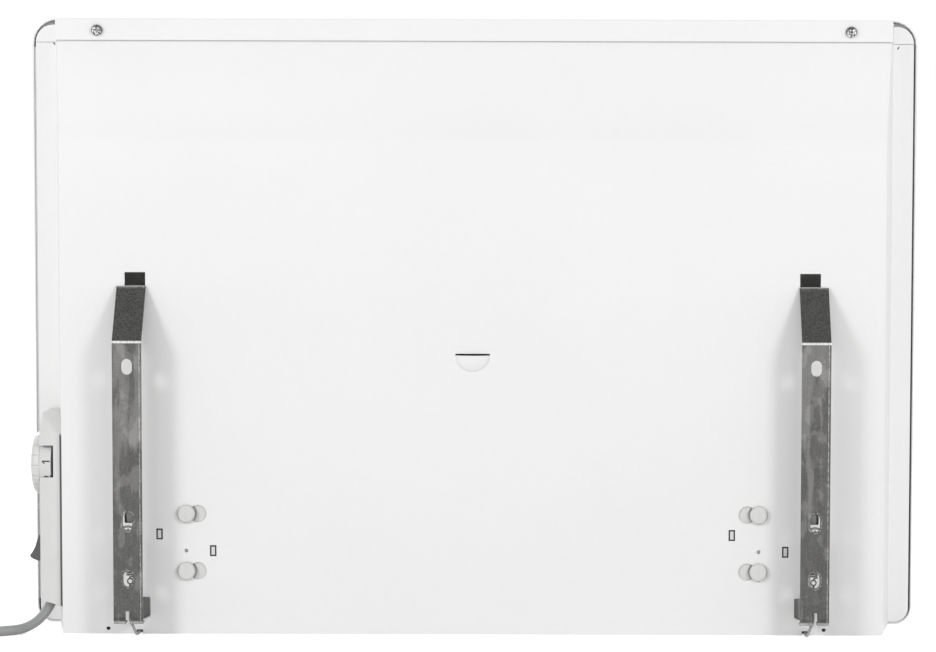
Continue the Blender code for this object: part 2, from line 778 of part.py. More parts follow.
# Corner channel: closes the casing above the side flanges, with round corners

def make_corner_channel(paint):
    high = CHANNEL_LOW_Z + CHANNEL_HEIGHT
    web_outline = channel_outline(high)
    web = prism("corner_channel", web_outline, "Y", FLANGE_Y - CHANNEL_WALL, FLANGE_Y, paint)
    half = STRIP_LENGTH / 2
    flange = block(
        "channel_flange",
        (-half, FLANGE_Y - CHANNEL_FLANGE, high - CHANNEL_WALL),
        (half, FLANGE_Y - CHANNEL_WALL / 2, high),
    )
    return fuse(web, flange)


def channel_outline(high):
    radius = CHANNEL_CORNER_RADIUS
    points = [(-FLANGE_HALF, CHANNEL_LOW_Z), (FLANGE_HALF, CHANNEL_LOW_Z)]
    for sign, first in ((1, 0), (-1, 90)):
        for k in range(CORNER_STEPS + 1):
            angle = math.radians(first + 90 * k / CORNER_STEPS)
            centre = sign * (FLANGE_HALF - radius)
            points.append((centre + radius * math.cos(angle), high - radius + radius * math.sin(angle)))
    return points


# Top strip: an angle of sheet over the pan's upper edge, held by two screws

def make_top_strip(paint):
    half = STRIP_LENGTH / 2
    rear = FLANGE_Y + STRIP_STAND
    low = STRIP_TOP_Z - STRIP_HEIGHT
    front = FLANGE_Y - STRIP_FLANGE
    top = STRIP_TOP_Z
    inner = top - STRIP_WALL
    outline = [(rear, low), (rear, top), (front, top), (front, inner), (rear - STRIP_WALL, inner), (rear - STRIP_WALL, low)]
    strip = prism("top_strip", outline, "X", -half, half, paint)
    holes = [circle(side * STRIP_SCREW_X, STRIP_SCREW_Z, SCREW_SHANK_RADIUS + RUNNING_GAP, SMALL_SIDES) for side in (-1, 1)]
    return carve(strip, prisms("strip_hole_cutter", holes, "Y", FLANGE_Y, rear + OVERRUN))


def make_strip_screw(name, x, steel):
    """A pan head screw that points into the casing, with a cross recess."""
    high = SCREW_HEAD_HEIGHT
    profile = [(SCREW_SHANK_RADIUS * r, SCREW_SHANK_LENGTH * h) for r, h in SCREW_SHANK_SHARES]
    profile += [(SCREW_HEAD_RADIUS * r, high * h) for r, h in SCREW_HEAD_SHARES]
    screw = turned(name, profile, steel, ROUND_SIDES)
    half_length = CROSS_LENGTH / 2
    half_width = CROSS_WIDTH / 2
    bottom = high - CROSS_DEPTH
    bars = [
        block(f"{name}_bar_1", (-half_length, -half_width, bottom), (half_length, half_width, high + OVERRUN)),
        block(f"{name}_bar_2", (-half_width, -half_length, bottom), (half_width, half_length, high + OVERRUN)),
    ]
    carve(screw, *bars)
    for bar in bars:
        bar.parent = screw
    return stand_along(screw, (0, 1, 0), (x, FLANGE_Y + STRIP_STAND + CLEARANCE, STRIP_SCREW_Z))


# Element supports: moulded plates behind the pan, locked by two studs in keyholes

def make_element_support(name, side, moulding):
    x = side * SUPPORT_X
    low = SUPPORT_MID - SUPPORT_HEIGHT / 2
    half = SUPPORT_WIDTH / 2
    plate = block(
        name,
        (x - half, SUPPORT_FRONT_Y, low),
        (x + half, SUPPORT_BACK_Y, low + SUPPORT_HEIGHT),
        moulding,
    )
    pilot = prism(f"{name}_pilot", circle(x, PILOT_HEIGHT, PILOT_RADIUS, HOLE_SIDES), "Y", SUPPORT_BACK_Y - PILOT_RADIUS, PAN_Y)
    carve(plate, pilot)
    tabs = prisms(
        f"{name}_tabs",
        [centred(u, v, TAB_WIDTH, TAB_HEIGHT) for u, v in tab_places(side)],
        "Y",
        SUPPORT_FRONT_Y + SUPPORT_THICKNESS / 2,
        PAN_Y,
    )
    studs = [make_stud(f"{name}_stud_{k}", x, height) for k, height in enumerate(stud_heights())]
    fuse(plate, tabs, *studs, make_arm(f"{name}_arm", x))
    bore = prism(
        f"{name}_bore",
        circle(ELEMENT_Y, ELEMENT_Z, SPIGOT_RADIUS + RUNNING_GAP, ROUND_SIDES),
        "X",
        x - ARM_THICKNESS,
        x + ARM_THICKNESS,
    )
    return carve(plate, bore)


def make_stud(name, x, height):
    """A mushroom stud: a neck through the pan and a domed head over it."""
    seat = PAN_Y + CLEARANCE - SUPPORT_FRONT_Y
    profile = [(STUD_NECK_RADIUS, SUPPORT_THICKNESS / 2), (STUD_NECK_RADIUS, seat)]
    profile += [(STUD_HEAD_RADIUS * r, seat + STUD_HEAD_HEIGHT * h) for r, h in STUD_HEAD_SHARES]
    stud = turned(name, profile, None, FINE_SIDES)
    return stand_along(stud, (0, 1, 0), (x, SUPPORT_FRONT_Y, height))


def make_arm(name, x):
    """The web that carries the end of the heating element, tapering towards the shield."""
    half = ARM_HEIGHT / 2
    tip = half * ARM_TIP_SHARE
    front = SHIELD_Y + SHIELD_WALL + CLEARANCE
    back = SUPPORT_FRONT_Y + SUPPORT_THICKNESS / 2
    outline = [
        (back, ELEMENT_Z - half),
        (back, ELEMENT_Z + half),
        (ELEMENT_Y, ELEMENT_Z + tip),
        (front, ELEMENT_Z + tip),
        (front, ELEMENT_Z - tip),
        (ELEMENT_Y, ELEMENT_Z - tip),
    ]
    return prism(name, outline, "X", x - ARM_THICKNESS / 2, x + ARM_THICKNESS / 2)


# Heating element: a finned extrusion with a spigot fitting at each end

def element_half():
    """From the middle to the end of the fins."""
    return SUPPORT_X - ARM_THICKNESS / 2 - 2 * CLEARANCE - END_DISC_THICKNESS - CLEARANCE


def fin_outline():
    points = []
    half = FIN_THICKNESS / 2
    root = math.asin(half / HUB_RADIUS)
    reach = math.sqrt(HUB_RADIUS**2 - half**2)
    for k in range(FIN_COUNT):
        angle = 2 * math.pi * k / FIN_COUNT + math.pi / FIN_COUNT
        out = Vector((math.cos(angle), math.sin(angle)))
        across = Vector((-out.y, out.x)) * half
        for along, sign in ((reach, -1), (FIN_RADIUS, -1), (FIN_RADIUS, 1), (reach, 1)):
            point = out * along + across * sign
            points.append((ELEMENT_Y + point.x, ELEMENT_Z + point.y))
        middle = angle + math.pi / FIN_COUNT
        if root < math.pi / FIN_COUNT:
            points.append((ELEMENT_Y + HUB_RADIUS * math.cos(middle), ELEMENT_Z + HUB_RADIUS * math.sin(middle)))
    return points


def make_heating_element(alloy, steel):
    half = element_half()
    prism("heating_element", fin_outline(), "X", -half, half, alloy)
    for side, word in ((-1, "left"), (1, "right")):
        spigot_end = END_DISC_THICKNESS + SPIGOT_LENGTH
        profile = [
            (HUB_RADIUS, 0),
            (HUB_RADIUS, END_DISC_THICKNESS),
            (SPIGOT_RADIUS, END_DISC_THICKNESS),
            (SPIGOT_RADIUS, spigot_end),
            (TERMINAL_RADIUS, spigot_end),
            (TERMINAL_RADIUS, spigot_end + TERMINAL_LENGTH),
        ]
        fitting = turned(f"element_end_{word}", profile, steel, ROUND_SIDES)
        stand_along(fitting, (side, 0, 0), (side * (half + CLEARANCE), ELEMENT_Y, ELEMENT_Z))


# Heat shield: a sheet between the element and the front, on the supports' arms

def make_heat_shield(galvanised):
    half = SHIELD_WIDTH / 2
    high = SHIELD_LOW + SHIELD_HEIGHT
    rear = SHIELD_Y + SHIELD_WALL
    outline = [
        (SHIELD_Y, SHIELD_LOW),
        (rear, SHIELD_LOW),
        (rear, high - SHIELD_WALL),
        (rear + SHIELD_FOLD, high + SHIELD_FOLD - SHIELD_WALL),
        (rear + SHIELD_FOLD, high + SHIELD_FOLD),
        (SHIELD_Y, high),
    ]
    return prism("heat_shield", outline, "X", -half, half, galvanised)


# Thermal cutout: a disc thermostat on an angle bracket above the element

def make_thermal_cutout(galvanised, bakelite):
    half = CUTOUT_PLATE_WIDTH / 2
    back = PAN_INNER_Y - CLEARANCE
    wall = CUTOUT_PLATE_WALL
    outline = [
        (back, CUTOUT_Z),
        (back, CUTOUT_Z + CUTOUT_PLATE_HEIGHT),
        (back - wall, CUTOUT_Z + CUTOUT_PLATE_HEIGHT),
        (back - wall, CUTOUT_Z + wall),
        (back - CUTOUT_PLATE_REACH, CUTOUT_Z + wall),
        (back - CUTOUT_PLATE_REACH, CUTOUT_Z),
    ]
    prism("cutout_bracket", outline, "X", CUTOUT_X - half, CUTOUT_X + half, galvanised)
    radius = CUTOUT_RADIUS
    neck = radius * CUTOUT_NECK_SHARE
    step = CUTOUT_HEIGHT * CUTOUT_BASE_SHARE
    profile = [(radius, 0), (radius, step), (neck, step), (neck, CUTOUT_HEIGHT)]
    cutout = turned("thermal_cutout", profile, bakelite, ROUND_SIDES)
    middle = back - wall - (CUTOUT_PLATE_REACH - wall) / 2
    cutout.location = (CUTOUT_X, middle, CUTOUT_Z + wall + CLEARANCE)


# Intake grille: a slotted sheet that lies on the shell's floor and the pan's lip

def make_intake_grille(paint):
    half = GRILLE_WIDTH / 2
    low = max(SHELL_WALL, PAN_WALL) + CLEARANCE
    front = FRONT_Y + SHELL_EDGE_RADIUS
    rear = PAN_Y - GRILLE_REAR_GAP
    grille = block("intake_grille", (-half, front, low), (half, rear, low + GRILLE_WALL), paint)
    pitch_x = GRILLE_WIDTH / GRILLE_COLUMNS
    open_front = FLANGE_Y
    open_rear = PAN_Y - LIP_DEPTH
    pitch_y = (open_rear - open_front) / GRILLE_ROWS
    slots = []
    for column in range(GRILLE_COLUMNS):
        for row in range(GRILLE_ROWS):
            x = -half + pitch_x * (column + 0.5)
            y = open_front + pitch_y * (row + 0.5)
            slots.append(centred(x, y, GRILLE_SLOT_LENGTH, GRILLE_SLOT_WIDTH))
    return carve(grille, prisms("grille_cutter", slots, "Z", low - OVERRUN, low + GRILLE_WALL + OVERRUN))


# Control housing: an outer moulding seen beside the pan and an inner base within it

def housing_outline(inset, left, right):
    """Outline across Y: a bevelled top that falls outwards and a bottom that rises outwards."""
    low = HOUSING_LOW + inset
    high = HOUSING_HIGH - inset
    return [(left, low), (PAN_REAR_HALF, low), (right, low + HOUSING_SLANT), (right, high), (left, high)]


def make_control_housing(moulding):
    outer = HOUSING_OUTER
    inner = outer - HOUSING_WALL
    housing = prism(
        "control_housing", housing_outline(0, HOUSING_SPLIT, outer), "Y", HOUSING_FRONT_Y, HOUSING_REAR_Y, moulding
    )
    hollow = prism(
        "housing_hollow",
        housing_outline(HOUSING_WALL, HOUSING_SPLIT - OVERRUN, inner),
        "Y",
        HOUSING_FRONT_Y + HOUSING_WALL,
        HOUSING_REAR_Y - HOUSING_WALL,
    )
    bevel = housing_bevel_cutter("housing_bevel", 0)
    carve(housing, bevel, hollow)
    fuse(housing, bevel_wall())
    return carve(housing, dial_cutter(), window_cutter(), switch_cutter(), gland_cutter())


def bevel_line(inset):
    """Two points of the sloping top, as (y, z), from the rear face forwards."""
    rear = HOUSING_REAR_Y - inset
    high = HOUSING_HIGH - inset
    return (rear, high - HOUSING_BEVEL), (rear - HOUSING_BEVEL, high)


def housing_bevel_cutter(name, inset):
    """A wedge that slopes the top edge at the rear."""
    (rear, low), (front, high) = bevel_line(inset)
    grown = OVERRUN
    outline = [(rear, low), (rear + grown, low), (rear + grown, high + grown), (front, high + grown), (front, high)]
    return prism(name, outline, "X", HOUSING_INNER - grown, HOUSING_OUTER + grown)


def bevel_wall():
    """The wall under the sloping top."""
    (rear, low), (front, high) = bevel_line(0)
    inset = HOUSING_WALL
    outline = [(rear, low), (front, high), (front - inset, high), (front - inset, high - inset), (rear - inset, low - inset), (rear, low - inset)]
    return prism("bevel_wall", outline, "X", HOUSING_SPLIT, HOUSING_OUTER)


def dial_cutter():
    outline = circle(DIAL_Y, DIAL_Z, DIAL_RADIUS + RUNNING_GAP, DIAL_SIDES)
    return prism("dial_cutter", outline, "X", DIAL_INNER - RUNNING_GAP, HOUSING_OUTER + OVERRUN)


def window_cutter():
    """The opening in the rear wall that shows the dial's drum."""
    low = (DIAL_INNER - RUNNING_GAP, DIAL_Y, DIAL_Z + WINDOW_RAISE - WINDOW_HEIGHT / 2)
    high = (HOUSING_OUTER + OVERRUN, HOUSING_REAR_Y + OVERRUN, low[2] + WINDOW_HEIGHT)
    return block("window_cutter", low, high)


def switch_cutter():
    outline = centred(DIAL_Y, SWITCH_Z, SWITCH_WIDTH + 2 * CLEARANCE, SWITCH_HEIGHT + 2 * CLEARANCE)
    return prism("switch_cutter", outline, "X", HOUSING_OUTER - HOUSING_WALL * 2, HOUSING_OUTER + OVERRUN)


def gland_cutter():
    radius = GLAND_RADIUS + CLEARANCE
    reach = GLAND_LENGTH + OVERRUN
    hole = turned("gland_cutter", [(radius, -reach), (radius, reach)], None, ROUND_SIDES)
    return stand_along(hole, CORD_DOWN, cord_exit())


def cord_exit():
    rise = HOUSING_SLANT * (CORD_EXIT_X - PAN_REAR_HALF) / (HOUSING_OUTER - PAN_REAR_HALF)
    return Vector((CORD_EXIT_X, CORD_EXIT_Y, HOUSING_LOW + rise))


def make_housing_base(moulding):
    outer = HOUSING_SPLIT - CLEARANCE
    base = prism(
        "housing_base",
        rectangle(HOUSING_INNER, HOUSING_LOW, outer, HOUSING_HIGH),
        "Y",
        HOUSING_FRONT_Y,
        HOUSING_REAR_Y,
        moulding,
    )
    hollow = prism(
        "base_hollow",
        rectangle(HOUSING_INNER + HOUSING_WALL, HOUSING_LOW + HOUSING_WALL, outer + OVERRUN, HOUSING_HIGH - HOUSING_WALL),
        "Y",
        HOUSING_FRONT_Y + HOUSING_WALL,
        HOUSING_REAR_Y - HOUSING_WALL,
    )
    bevel = housing_bevel_cutter("base_bevel", 0)
    lead_holes = prisms(
        "lead_hole_cutter",
        [circle(DIAL_Y + LEAD_WIDE * share, BLOCK_Z, LEAD_RADIUS + RUNNING_GAP, HOLE_SIDES) for share in LEAD_SIDE_SHARES],
        "X",
        HOUSING_INNER - OVERRUN,
        HOUSING_INNER + HOUSING_WALL * 2,
    )
    return carve(base, hollow, bevel, lead_holes)


# Thermostat, its shaft and the dial, which turn about an axis along X

def make_thermostat(bakelite, brass):
    back = HOUSING_INNER + HOUSING_WALL + CLEARANCE
    half_y = THERMOSTAT_WIDTH / 2
    half_z = THERMOSTAT_HEIGHT / 2
    body = block(
        "thermostat_body",
        (back, DIAL_Y - half_y, DIAL_Z - half_z),
        (THERMOSTAT_FACE, DIAL_Y + half_y, DIAL_Z + half_z),
        bakelite,
    )
    socket = circle(DIAL_Y, DIAL_Z, SHAFT_RADIUS + RUNNING_GAP, SMALL_SIDES)
    start = THERMOSTAT_FACE - SHAFT_SOCKET_DEPTH
    carve(body, prism("shaft_socket", socket, "X", start, THERMOSTAT_FACE + OVERRUN))
    shaft_start = start + CLEARANCE
    shaft_end = DIAL_INNER + DIAL_BORE_DEPTH - CLEARANCE
    profile = [(SHAFT_RADIUS, 0), (SHAFT_RADIUS, shaft_end - shaft_start)]
    shaft = turned("thermostat_shaft", profile, brass, SMALL_SIDES)
    stand_along(shaft, (1, 0, 0), (shaft_start, DIAL_Y, DIAL_Z))


def make_dial(moulding):
    """A drum with its scale inside the housing and a rounded grip that stands out of the side."""
    length = DIAL_OUTER - DIAL_INNER
    rounding = DIAL_ROUNDING
    profile = [(DIAL_RADIUS, 0), (DIAL_RADIUS, length - rounding)]
    for k in range(1, 4):
        angle = math.pi / 2 * k / 3
        profile.append((DIAL_RADIUS - rounding * (1 - math.cos(angle)), length - rounding + rounding * math.sin(angle)))
    dial = turned("dial_knob", profile, moulding, DIAL_SIDES)
    bore_radius = SHAFT_RADIUS + CLEARANCE
    bore = turned("dial_bore", [(bore_radius, -OVERRUN), (bore_radius, DIAL_BORE_DEPTH)], None, SMALL_SIDES)
    carve(dial, bore)
    bore.parent = dial
    return stand_along(dial, (1, 0, 0), (DIAL_INNER, DIAL_Y, DIAL_Z))


# Rocker switch: a snap-in body with a bezel, and the rocker on an axis along Y

def make_switch(black, grey):
    seat = HOUSING_OUTER + CLEARANCE
    body = prism(
        "switch_body",
        centred(DIAL_Y, SWITCH_Z, SWITCH_WIDTH, SWITCH_HEIGHT),
        "X",
        seat - SWITCH_DEPTH,
        seat + BEZEL_THICKNESS,
        black,
    )
    bezel = prism(
        "switch_bezel", centred(DIAL_Y, SWITCH_Z, BEZEL_WIDTH, BEZEL_HEIGHT), "X", seat, seat + BEZEL_THICKNESS
    )
    inner = centred(DIAL_Y, SWITCH_Z, SWITCH_WIDTH - 2 * SWITCH_WALL, SWITCH_HEIGHT - 2 * SWITCH_WALL)
    cavity = prism("switch_cavity", inner, "X", seat - SWITCH_DEPTH + SWITCH_WALL * 4, seat + OVERRUN)
    carve(fuse(body, bezel), cavity)
    make_rocker(grey)


def make_rocker(grey):
    """The rocker lies at one end of its travel, with its lower end out."""
    outline = [
        (-ROCKER_ROOT_DEPTH, -ROCKER_ROOT_HALF),
        (ROCKER_END_RISE / 2, -ROCKER_HALF),
        (ROCKER_END_RISE, -ROCKER_HALF),
        (ROCKER_TIP_RISE, -ROCKER_TIP),
        (ROCKER_MID_RISE, 0),
        (ROCKER_TIP_RISE, ROCKER_TIP),
        (ROCKER_END_RISE, ROCKER_HALF),
        (ROCKER_END_RISE / 2, ROCKER_HALF),
        (-ROCKER_ROOT_DEPTH, ROCKER_ROOT_HALF),
    ]
    half = SWITCH_WIDTH / 2 - SWITCH_WALL - RUNNING_GAP
    rocker = prism("switch_rocker", outline, "Y", -half, half, grey)
    rocker.location = (HOUSING_OUTER + CLEARANCE, DIAL_Y, SWITCH_Z)
    rocker.rotation_euler = Euler((0, ROCKER_REST, 0))


# Terminal block, and two leads from it to the near end of the element

def make_terminal_block(moulding):
    back = HOUSING_INNER + HOUSING_WALL + CLEARANCE
    half = BLOCK_LENGTH / 2
    body = block(
        "terminal_block",
        (back, DIAL_Y - half, BLOCK_Z - BLOCK_HEIGHT / 2),
        (back + BLOCK_DEPTH, DIAL_Y + half, BLOCK_Z + BLOCK_HEIGHT / 2),
        moulding,
    )
    holes = [circle(DIAL_Y + LEAD_WIDE * share, BLOCK_Z, BLOCK_BORE_RADIUS, HOLE_SIDES) for share in LEAD_SIDE_SHARES]
    return carve(body, prisms("block_bores", holes, "X", back - OVERRUN, back + BLOCK_DEPTH + OVERRUN))


def make_leads(sleeve):
    """From the block to the element's right end, to the cutout, and from there to the left end."""
    start_x = HOUSING_INNER + HOUSING_WALL + BLOCK_DEPTH / 2
    tip = element_half() + END_DISC_THICKNESS + SPIGOT_LENGTH + TERMINAL_LENGTH + CLEARANCE * 2
    near, far = (DIAL_Y + LEAD_WIDE * share for share in LEAD_SIDE_SHARES)
    cutout_y = PAN_INNER_Y - CLEARANCE - CUTOUT_PLATE_WALL - (CUTOUT_PLATE_REACH - CUTOUT_PLATE_WALL) / 2
    cutout_z = CUTOUT_Z + CUTOUT_PLATE_WALL + CUTOUT_HEIGHT * CUTOUT_BASE_SHARE + LEAD_RADIUS + CLEARANCE * 2
    cutout_reach = CUTOUT_RADIUS * CUTOUT_NECK_SHARE + CLEARANCE * 2
    live = [
        (start_x, near, BLOCK_Z),
        (HOUSING_INNER, near, BLOCK_Z),
        (HOUSING_INNER - LEAD_WIDE / 4, near, BLOCK_Z),
        (HOUSING_INNER - LEAD_WIDE, (near + ELEMENT_Y) / 2, (BLOCK_Z + ELEMENT_Z) / 2),
        (tip + LEAD_WIDE, ELEMENT_Y, ELEMENT_Z),
        (tip, ELEMENT_Y, ELEMENT_Z),
    ]
    neutral = [
        (start_x, far, BLOCK_Z),
        (HOUSING_INNER, far, BLOCK_Z),
        (HOUSING_INNER - LEAD_WIDE / 4, far, BLOCK_Z),
        (HOUSING_INNER - LEAD_WIDE, far, BLOCK_Z + LEAD_WIDE),
        (HOUSING_INNER - LEAD_WIDE, far, cutout_z - LEAD_WIDE),
        (SUPPORT_X, far, cutout_z + LEAD_WIDE),
        (CUTOUT_X + LEAD_WIDE * 5, cutout_y, cutout_z + LEAD_WIDE / 2),
        (CUTOUT_X + cutout_reach + LEAD_WIDE / 2, cutout_y, cutout_z),
        (CUTOUT_X + cutout_reach, cutout_y, cutout_z),
    ]
    back = [
        (CUTOUT_X - cutout_reach, cutout_y, cutout_z),
        (CUTOUT_X - cutout_reach - LEAD_WIDE / 2, cutout_y, cutout_z),
        (CUTOUT_X - LEAD_WIDE * 4, cutout_y, cutout_z + LEAD_WIDE / 2),
        (-SUPPORT_X, cutout_y, cutout_z),
        (-tip - LEAD_WIDE * 2, 0, (cutout_z + ELEMENT_Z) / 2),
        (-tip - LEAD_WIDE, ELEMENT_Y, ELEMENT_Z),
        (-tip, ELEMENT_Y, ELEMENT_Z),
    ]
    for word, knots in (("live", live), ("neutral", neutral), ("link", back)):
        tube(f"lead_{word}", smooth_route(knots, 4), LEAD_RADIUS, sleeve, 1)


# Cord: a gland in the housing's floor, the free stretch, the stored coil and the plug

def make_cord(black, sheath, brass):
    gland = turned("cord_gland", [(GLAND_RADIUS, -GLAND_LENGTH), (GLAND_RADIUS, -CLEARANCE)], black, ROUND_SIDES)
    carve(gland, gland_bore())
    stand_along(gland, CORD_DOWN, cord_exit())
    coil = coil_points()
    end = coil[0] - Vector((CLEARANCE, 0, 0))
    knots = [Vector((HALF + x, y, z)) for x, y, z in CORD_ROUTE]
    route = smooth_route(knots + [end - Vector((CORD_DIAMETER, 0, 0)), end], 2)
    tube("cord_free", route, CORD_RADIUS, sheath, 3)
    tube("cord_coil", coil, CORD_RADIUS, sheath, 1)
    print(f"cord: {route_length(route):.4f} m free, {route_length(coil):.4f} m coiled,"
          f" least gap between turns {least_gap(coil) * 1000:.2f} mm")
    make_plug(black, brass, coil[-1])


def gland_bore():
    radius = CORD_RADIUS * GLAND_BORE_SHARE
    bore = turned("gland_bore", [(radius, -GLAND_LENGTH - OVERRUN), (radius, -GLAND_LENGTH / 2)], None, SMALL_SIDES)
    return stand_along(bore, CORD_DOWN, cord_exit())


def coil_wave(turns):
    """Radius and height after so many turns: the spiral reverses at each layer and climbs there."""
    layer_turns = COIL_TURNS / COIL_LAYERS
    spread = COIL_PITCH * layer_turns
    layer = min(int(turns / layer_turns), COIL_LAYERS - 1)
    part = turns / layer_turns - layer
    inwards = part if layer % 2 == 0 else 1 - part
    radius = COIL_RADIUS + spread / 2 - spread * inwards
    height = CORD_RADIUS + CLEARANCE / 2
    for k in range(1, COIL_LAYERS):
        t = min(max((turns - k * layer_turns) * 2 + 0.5, 0), 1)
        height += COIL_PITCH * t * t * (3 - 2 * t)
    return radius, height


def coil_points():
    """One unbroken run: straight in, round from the wall side of the coil, and straight out towards the plug."""
    points = [Vector((COIL_X - CORD_DIAMETER, COIL_Y + coil_wave(0)[0], coil_wave(0)[1]))]
    for k in range(COIL_TURNS * COIL_TURN_STEPS + LEAVING_STEPS + 1):
        turns = k / COIL_TURN_STEPS
        radius, height = coil_wave(turns)
        angle = math.pi / 2 - 2 * math.pi * turns
        points.append(Vector((COIL_X + radius * math.cos(angle), COIL_Y + radius * math.sin(angle), height)))
    last = points[-1]
    reach = tail_reach() - PLUG_RADIUS - PLUG_NECK_LENGTH - CLEARANCE
    end = last + leaving_way() * reach
    end.z = PLUG_ENTRY_Z
    rise = end - leaving_way() * CORD_DIAMETER - last
    for k in range(1, TAIL_STEPS + 1):
        t = k / TAIL_STEPS
        points.append(last + Vector((rise.x * t, rise.y * t, rise.z * t * t * (3 - 2 * t))))
    return points + [end]


def leaving_way():
    """The level direction in which the cord leaves the coil."""
    return Vector((math.cos(LEAVING_ANGLE), -math.sin(LEAVING_ANGLE), 0))


def tail_reach():
    """How far the plug's middle lies from the point where the cord leaves the coil."""
    turns = COIL_TURNS + LEAVING_STEPS / COIL_TURN_STEPS
    return math.sqrt(PLUG_DISTANCE**2 - coil_wave(turns)[0] ** 2)


def least_gap(points):
    """The least distance between centre lines over half a turn apart, less the cord's diameter."""
    fine = [a.lerp(b, t) for a, b in zip(points, points[1:]) for t in (0, 0.5)]
    apart = COIL_TURN_STEPS
    return min(
        (fine[i] - fine[j]).length for i in range(len(fine)) for j in range(i + apart, len(fine))
    ) - CORD_DIAMETER


def make_plug(black, brass, entry):
    """A round angled plug that lies on its back, with its pins up and the cord entering at the side."""
    middle = entry + leaving_way() * (PLUG_RADIUS + PLUG_NECK_LENGTH + CLEARANCE)
    middle.z = CLEARANCE
    high = PLUG_THICKNESS
    profile = [(PLUG_RADIUS * r, high * h) for r, h in PLUG_BODY_SHARES]
    profile.append((profile[-1][0], high - PLUG_FACE_RECESS))
    body = fuse(turned("plug_body", profile, black, PLUG_SIDES), plug_neck())
    seats = [circle(0, y, PIN_RADIUS + CLEARANCE, HOLE_SIDES) for y in pin_offsets()]
    carve(body, prisms("plug_pin_seats", seats, "Z", high - PIN_SEAT, high + OVERRUN))
    carve(body, prisms("plug_clip_seats", clip_outlines(CLEARANCE), "Z", high - CLIP_HEIGHT, high + OVERRUN))
    for step in body.modifiers:
        step.object.parent = body
    lay_beside_coil(body, middle)
    pin_high = PIN_LENGTH + PIN_SEAT
    bottom = high - PIN_SEAT + CLEARANCE
    for k, y in enumerate(pin_offsets()):
        profile = [(PIN_RADIUS, 0), (PIN_RADIUS, pin_high - PIN_RADIUS), (PIN_RADIUS * PIN_TIP_SHARE, pin_high)]
        pin = turned(f"plug_pin_{k + 1}", profile, brass, HOLE_SIDES)
        lay_beside_coil(pin, middle, Vector((0, y, bottom)))
    for k, outline in enumerate(clip_outlines(0)):
        clip = prism(f"plug_earth_clip_{k + 1}", outline, "Z", high - CLIP_HEIGHT + CLEARANCE, high, brass)
        lay_beside_coil(clip, middle)


def lay_beside_coil(piece, middle, offset=Vector((0, 0, 0))):
    """Turns a piece of the plug in line with the cord's end, and moves it to its place there."""
    turn = Matrix.Rotation(-LEAVING_ANGLE, 3, "Z")
    piece.rotation_euler = turn.to_euler()
    piece.location = middle + turn @ offset


def plug_neck():
    wide = PLUG_NECK_RADIUS * PLUG_NECK_SHARE
    length = PLUG_NECK_LENGTH
    profile = [(PLUG_NECK_RADIUS, 0), (wide, length), (wide, length + PLUG_RADIUS / 2)]
    neck = turned("plug_neck", profile, None, SMALL_SIDES)
    return stand_along(neck, (1, 0, 0), (-PLUG_RADIUS - length, 0, PLUG_ENTRY_Z - CLEARANCE))


def pin_offsets():
    return [PIN_SPACING / 2 * sign for sign in (-1, 1)]


def clip_outlines(grow):
    """The two earth contacts, let into the rim of the face."""
    depth = CLIP_THICKNESS + grow
    half = CLIP_WIDTH / 2 + grow
    rim = PLUG_RADIUS
    return [rectangle(-rim - OVERRUN * (grow > 0), -half, -rim + depth, half) if sign < 0
            else rectangle(rim - depth, -half, rim + OVERRUN * (grow > 0), half) for sign in (-1, 1)]


# Wall brackets: bent strap with a tongue through the pan, a foot lip and a side wing

def bracket_outline():
    """The strap's bent section as (y, z), from the foot up the wall side and down the inner side."""
    wall = BRACKET_WALL
    top = BRACKET_TOP
    near = PAN_Y + CLEARANCE * 2
    run = BRACKET_INNER_Y - near
    rise = top - BRACKET_BEND_Z
    across = wall / math.cos(math.atan2(run, rise))
    return [
        (WALL_Y - LIP_REACH, BRACKET_LOW),
        (WALL_Y - wall / 2, BRACKET_LOW),
        (WALL_Y, BRACKET_LOW + wall / 2),
        (WALL_Y, BRACKET_BEND_Z),
        (near + wall * run / rise, top),
        (near, top),
        (near, top - wall),
        (BRACKET_INNER_Y, BRACKET_BEND_Z + wall - across),
        (BRACKET_INNER_Y, BRACKET_LOW + wall),
        (WALL_Y - LIP_REACH, BRACKET_LOW + wall),
    ]


def make_wall_bracket(name, side, galvanised):
    x = side * BRACKET_X
    half = BRACKET_WIDTH / 2
    bracket = prism(name, bracket_outline(), "X", x - half, x + half, galvanised)
    fuse(bracket, make_tongue(f"{name}_tongue", side), make_wing(f"{name}_wing", side))
    ovals = [
        stadium(x, OVAL_TOP_Z, OVAL_TOP_WIDTH, OVAL_TOP_HEIGHT),
        stadium(x, OVAL_MID_Z, OVAL_MID_WIDTH, OVAL_MID_HEIGHT),
        stadium(x, OVAL_LOW_Z, OVAL_LOW_WIDTH, OVAL_LOW_HEIGHT),
    ]
    carve(bracket, prisms(f"{name}_ovals", ovals, "Y", BRACKET_INNER_Y - OVERRUN / 2, WALL_Y + OVERRUN))
    foot_low = (x - FOOT_SLOT_WIDTH / 2, WALL_Y - LIP_REACH - OVERRUN, -OVERRUN)
    foot_high = (x + FOOT_SLOT_WIDTH / 2, WALL_Y + OVERRUN, FOOT_SLOT_TOP)
    return carve(bracket, block(f"{name}_foot_slot", foot_low, foot_high))


